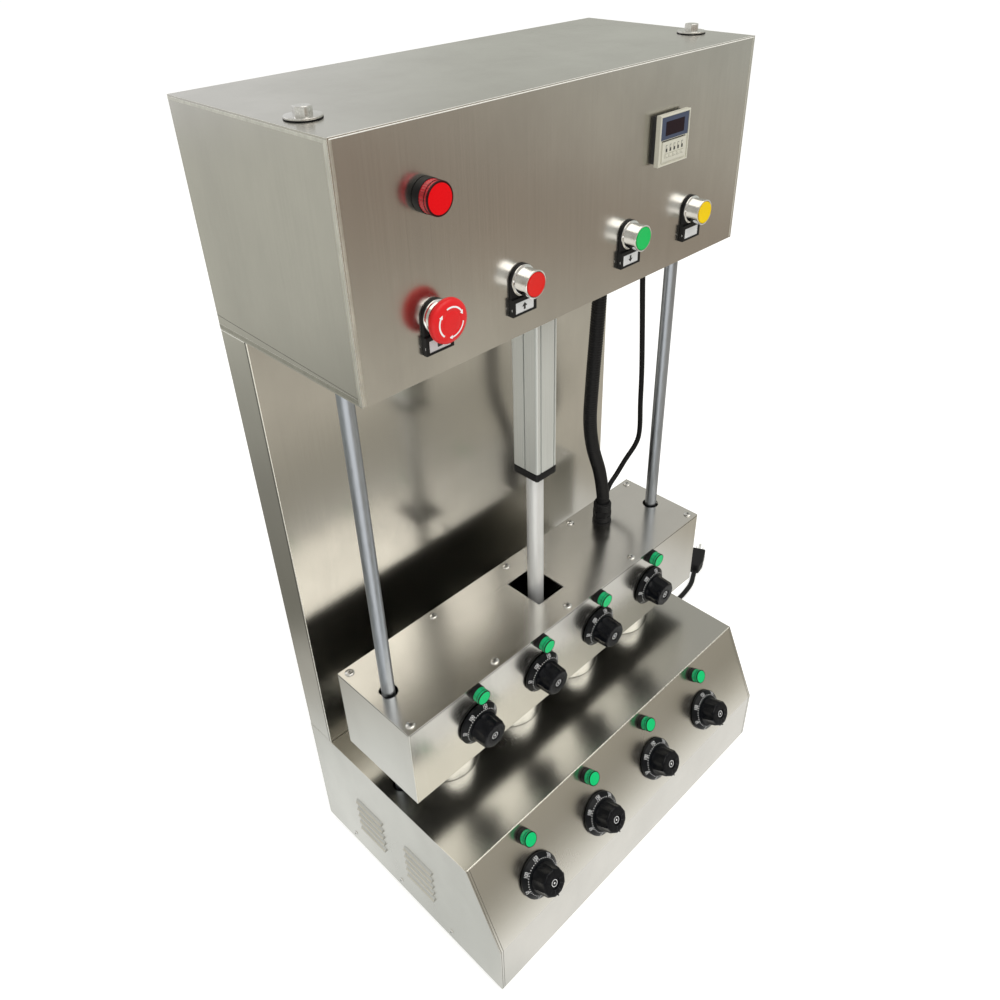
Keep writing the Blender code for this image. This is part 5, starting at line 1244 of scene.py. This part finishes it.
def emergency_stop():
    """The stop's stem, and its mushroom head with three printed arrows."""
    place = control_place("estop")
    turned("stop_stem", rounded(mm((0, -16), (8, -16), (8, 18), (0, 18)), 0.0005), 40,
           black_plastic, "estop_stem", "black_plastic", ("estop_stem",), place=place)
    bm = bmesh.new()
    lathe(bm, mm((0, 18.4), (8.4, 18.4), (8.4, 13), (16, 13), (18.2, 13.5), (19.4, 14.5),
                 (20, 15.8)) + STOP_FACE, 72)
    steps = 12
    for k in range(3):
        first, last = math.radians(229 - 120 * k), math.radians(150 - 120 * k)
        angles = [first + (last - first) * j / steps for j in range(steps + 1)]
        inner, outer = ([bm.verts.new(on_stop(radius, angle, 0.00012)) for angle in angles]
                        for radius in (0.0124, 0.0139))
        for j in range(steps):
            bm.faces.new((inner[j], outer[j], outer[j + 1], inner[j + 1])).material_index = 1
        tip = last - math.radians(15)
        flat(bm, [on_stop(radius, angle, 0.00014)
                  for radius, angle in ((0.0112, last), (0.0151, last), (0.01315, tip))], 1)
    piece("stop_head", bm, [red_gloss, white_print], "estop_head", "red_plastic",
          ("estop_head",), place=place)


# Timer


def timer():
    """A panel timer's case, its window, and its five keys, which slide in slots of their pad."""
    place = head_place(*TIMER_PLACE)
    half, top = 0.02415, 0.0100
    face, inner = top - 0.0010, half - 0.0017
    pad_low, pad_high, pad_half, pad_top = -0.0200, -0.0012, 0.0195, face + 0.0014
    key_half, key_rise, key_drop = 0.0025, 0.0020, 0.0145
    keys = [0.0064 * (k - 2) for k in range(5)]

    def square(inset):
        return oblong(half - inset, half - inset)

    bm = bmesh.new()
    rings = [[bm.verts.new((x, y, height)) for x, y in square(inset)] for inset, height in (
        (0.0020, 0.0003), (0.0020, 0.0042), (0.0004, 0.0042), (0, 0.0046), (0, top - 0.0004),
        (0.0004, top), (0.0017, top), (0.0017, face))]
    join(bm, rings[:2], 3, caps=False)
    join(bm, rings[1:], 0, caps=False)
    slot_low, slot_high = key_drop - key_rise, key_drop + key_rise
    back, pad_foot, proud = face - 0.0012, face - 0.0008, pad_top + 0.0003
    # Low and high corner, edge and paint. The face's lower half is left open where the keys slide
    slabs = [((-inner, 0.0, back), (inner, inner, face), 0, 0),
             ((-inner, -inner, back), (inner, pad_low, face), 0, 0),
             ((-inner, pad_low, back), (-pad_half, 0.0, face), 0, 0),
             ((pad_half, pad_low, back), (inner, 0.0, face), 0, 0),
             ((-0.02185, 0.0008, face), (0.02185, 0.02185, face + 0.0006), 0.0002, 1),
             ((-0.0150, 0.0044, face + 0.0005), (0.0150, 0.0176, face + 0.0008), 0.0001, 2),
             ((-pad_half, -slot_low, pad_foot), (pad_half, pad_high, pad_top), 0.0003, 0),
             ((-pad_half, pad_low, pad_foot), (pad_half, -slot_high, pad_top), 0.0003, 0),
             ((-0.0222, -0.0222, -0.060), (0.0222, 0.0222, 0.0004), 0, 3)]
    edges = [-pad_half, *(x + way for x in keys for way in (-key_half, key_half)), pad_half]
    slabs += [((left, -slot_high, pad_foot), (right, -slot_low, pad_top), 0, 0)
              for left, right in zip(edges[::2], edges[1::2])]
    for x in keys:
        slabs += [((x - 0.0013, -0.0108, pad_top - 0.0004),
                   (x + 0.0013, -0.0042, pad_top + 0.00005), 0, 3),
                  ((x - 0.0009, -0.0074, pad_top), (x + 0.0009, -0.0046, proud), 0, 0)]
    for low, high, edge, paint in slabs:
        block(bm, low, high, edge=edge, paint=paint)
    piece("timer_case", bm, [cream, timer_blue, timer_window, mark_black], "root",
          "cream_plastic", ("timer_housing",), sharp=30, place=place)
    for number, x in enumerate(keys, start=1):
        bm = bmesh.new()
        high = top + 0.0012
        block(bm, (-0.0022, -0.0017, top - 0.0022), (0.0022, 0.0017, high - 0.0004), edge=0.0003)
        prism(bm, mm((-1.5, 1), (0, -1.2), (1.5, 1)), high - 0.0005, high, edge=0.0002)
        piece(f"timer_button_{number}", bm, cream, f"timer_key_{number}", "cream_plastic",
              (f"timer_key_{number}",), place=place @ Matrix.Translation((x, -key_drop, 0)))


# Cables


def sleeve_rings(start, end, inner, outer, rises):
    """Rings up a sleeve, as a profile: each ring's four points rise so far above its start."""
    profile = []
    while start < end:
        profile += [(radius, start + rise)
                    for radius, rise in zip((inner, outer, outer, inner), rises)]
        start += rises[-1]
    return profile


def gland(bm, place, height):
    """A conduit gland: a ringed body under a nut, with a soft mouth for the hose."""
    base = height * 0.4
    lathe(bm, mm((9.4, -6), (9.4, 0.3), (13.5, 0.3), (13.5, 3), (12.2, 3.4)) + sleeve_rings(
        0.0034, base - 0.003, 0.0122, 0.0128, (0.0010, 0.0016, 0.0026, 0.0031)), 40, place)
    prism(bm, rounded(circle(0.0135, 6), 0.0012, 2, closed=True), base - 0.0010, base + 0.0070,
          place, edge=0.0006)
    mouth = [(0.0112, height - 0.0006), (0.0108, height), (0.0096, height),
             (0.0094, height - 0.008), (0.0, height - 0.008)]
    lathe(bm, [(0.0118, base + 0.0066)] + sleeve_rings(
        base + 0.0070, height - 0.003, 0.0118, 0.0125, (0.0009, 0.0014, 0.0023, 0.0028)) + mouth,
        40, place)


def cable_ends(name, body, place, conduit, cable, height, stands_for):
    """A conduit's gland and a cable's grommet, on one plate behind the sheet."""
    bm = bmesh.new()
    gland(bm, Matrix.Translation((*conduit, 0)), height)
    lathe(bm, rounded(mm((5.2, -6), (5.2, 0.3), (7.5, 0.3), (7.5, 3.8), (5.2, 7), (4, 7),
                         (3.8, 4), (0, 4)), 0.0005), 32, Matrix.Translation((*cable, 0)))
    low = [min(one, two) - 0.0065 for one, two in zip(conduit, cable)]
    high = [max(one, two) + 0.0065 for one, two in zip(conduit, cable)]
    block(bm, (*low, -0.0048), (*high, -SHEET - 0.0003), edge=0.0004, corner=0.003)
    piece(name, bm, black_plastic, body, "black_plastic", (stands_for,), place=place)


def shorten(item):
    """Gives the hose its own copy of its mesh."""
    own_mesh(item)


def cables():
    """The ribbed conduit, its foot riding on the carriage, and the thin cable."""
    ends = [(route[end][0], route[end][1] - ROD_SETBACK)
            for end in (0, -1) for route in (CONDUIT_ROUTE, CABLE_ROUTE)]
    cable_ends("lid_glands", "carriage", place_at(0, ROD_SETBACK, LID_TOP), *ends[:2], 0.035,
               "lid_cable_glands")
    cable_ends("head_glands", "root", place_at(0, ROD_SETBACK, HEAD_BOTTOM, FACING_DOWN),
               *((x, -y) for x, y in ends[2:]), 0.024, "head_cable_glands")

    line = smooth_line([spot(*point) for point in CONDUIT_ROUTE], CONDUIT_RIB_PITCH / 4)

    def ribs_from(first):
        return lambda k: CONDUIT_RADIUS * (0.955 + 0.045 * math.cos(math.tau * (k + first) / 4))

    # The foot keeps its shape in its gland, up to the bottom of a rib just above it
    cut = 2
    while line[cut].z < spot(0, 0, LID_TOP + 0.040).z:
        cut += 4
    bm = bmesh.new()
    sweep(bm, line[:cut + 1], ribs_from(0), 28)
    piece("conduit_foot", bm, hose_black, "carriage", "rubber", sharp=70)
    bm = bmesh.new()
    sweep(bm, line[cut + 1:], ribs_from(cut + 1), 28)
    hose = piece("conduit", bm, hose_black, "root", "rubber", ("conduit_hose",), sharp=70)
    shorten(hose)

    line = smooth_line([spot(*point) for point in CABLE_ROUTE], 0.004)
    bm = bmesh.new()
    sweep(bm, line, lambda k: CABLE_RADIUS, 20)
    wire = piece("signal_wire", bm, rubber, "root", "rubber", ("signal_cable",), sharp=70)
    shorten(wire)


def strain_relief():
    """A ribbed, tapered sleeve where the lead leaves the base."""
    bm = bmesh.new()
    prism(bm, rounded(circle(0.0110, 6), 0.001, 2, closed=True), 0.0003, 0.0083, edge=0.0006)
    lathe(bm, mm((6.8, -10), (6.8, 0.6)), 32)
    profile = [(0.0088, 0.0080)]
    for k in range(7):
        z, radius = 0.0085 + 0.0029 * k, 0.0086 - 0.0022 * k / 6
        profile += [(radius, z), (radius, z + 0.0017), (radius - 0.0011, z + 0.0019),
                    (radius - 0.0011, z + 0.0027)]
    lathe(bm, profile + mm((6, 29.2), (5.6, 30), (0, 30)), 32)
    return piece("lead_sleeve", bm, black_plastic, "root", "black_plastic",
                 ("mains_strain_relief",), place=place_at(HALF_WIDTH, *LEAD_EXIT[1:], FACING_RIGHT))


def plug():
    """A moulded plug with a ribbed tail, two blades and an earth pin."""
    bm = bmesh.new()
    wide = 0.01275
    outline = mm((0, -7.5), (20, -12.75), (55, -12.75), (55, 12.75), (20, 12.75), (0, 7.5))
    prism(bm, rounded(outline, 0.003, 4, closed=True), 0.0, 0.020, edge=0.003, steps=4)
    for x in (0.0245 + 0.0042 * k for k in range(5)):
        block(bm, (x, -wide - 0.00001, 0.004), (x + 0.0020, wide + 0.00001, 0.0165))
    for y in (-0.00635, 0.00635):
        block(bm, (0.0545, y - 0.00075, 0.0037), (0.072, y + 0.00075, 0.010), paint=1, edge=0.0002)
    lathe(bm, rounded(mm((0, -0.5), (2.4, -0.5), (2.4, 17), (0, 17)), 0.0008), 24,
          Matrix.Translation((0.055, 0, 0.0155)) @ FACING_RIGHT, paint=1)
    return piece("lead_plug", bm, [black_plastic, blade_metal], "root", "black_plastic",
                 ("mains_plug",), place=place_at(*PLUG_START, FLOOR, turn(PLUG_HEADING, "Z")))


def coil_point(turns):
    """A point of the lead's coil after so many turns: in along one layer and out along the next."""
    middle = COIL_TURNS / 2
    radius = COIL_RADIUS - COIL_PITCH * (middle - abs(turns - middle))
    climbed = min(1.0, max(0.0, (turns - middle + 0.25) * 2))
    angle = math.tau * turns - QUARTER
    return spot(COIL_MIDDLE[0] + radius * math.cos(angle),
                COIL_MIDDLE[1] + radius * math.sin(angle),
                LEAD_FLOOR + COIL_LAYER * (1 - climbed))


def mains_route():
    """The lead's line from the wall, down to its coil, round it and over the floor to the plug."""
    straight = Vector((2 * LEAD_RADIUS, 0, 0))
    start = spot(LEAD_START_X, *LEAD_EXIT[1:])
    coil_start, coil_end = coil_point(0) - straight, coil_point(COIL_TURNS) + straight
    reach, drop = coil_start.x - start.x, start.z - coil_start.z
    points = [spot(*LEAD_EXIT), (spot(*LEAD_EXIT) + start) / 2, start]
    points += [start + Vector((along * reach, 0, -down * drop)) for along, down in LEAD_DROP_SHARES]
    points.append(coil_start)
    points += [coil_point(k / COIL_STEPS) for k in range(COIL_TURNS * COIL_STEPS + 1)]
    points.append(coil_end)
    points += [spot(x, y, LEAD_FLOOR) for x, y in (*RUN_ROUTE, PLUG_START)]
    return points


def mains_lead():
    """A round cord as one smooth open spline, from its sleeve to its plug."""
    sleeve = strain_relief()
    points = mains_route()
    data = bpy.data.curves.new("mains_lead_cable", "CURVE")
    data.dimensions, data.use_fill_caps = "3D", True
    data.bevel_depth, data.bevel_resolution = LEAD_RADIUS, 4
    spline = data.splines.new("BEZIER")
    spline.bezier_points.add(len(points) - 1)
    for knot, point in zip(spline.bezier_points, points):
        knot.co = point
        knot.handle_left_type = knot.handle_right_type = "AUTO"
    spline.resolution_u = 6
    data.materials.append(rubber)
    lead = linked("mains_lead_cable", data)
    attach(lead, "root")
    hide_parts("mains_lead", "mains_coil", "mains_run")
    plug()


bpy.context.scene.view_settings.view_transform = "Standard"
for step in (add_camera, add_world, add_floor, add_cards, add_lights, finish_nodes, guide_rods,
             rod_bolts, screws, moulds, actuator, feet, head_welds, seams, folds, lid_gap, louvres,
             carriage_painted_shade, dials, pilot_lamps, power_lamp, controls, emergency_stop, timer,
             cables, mains_lead):
    step()
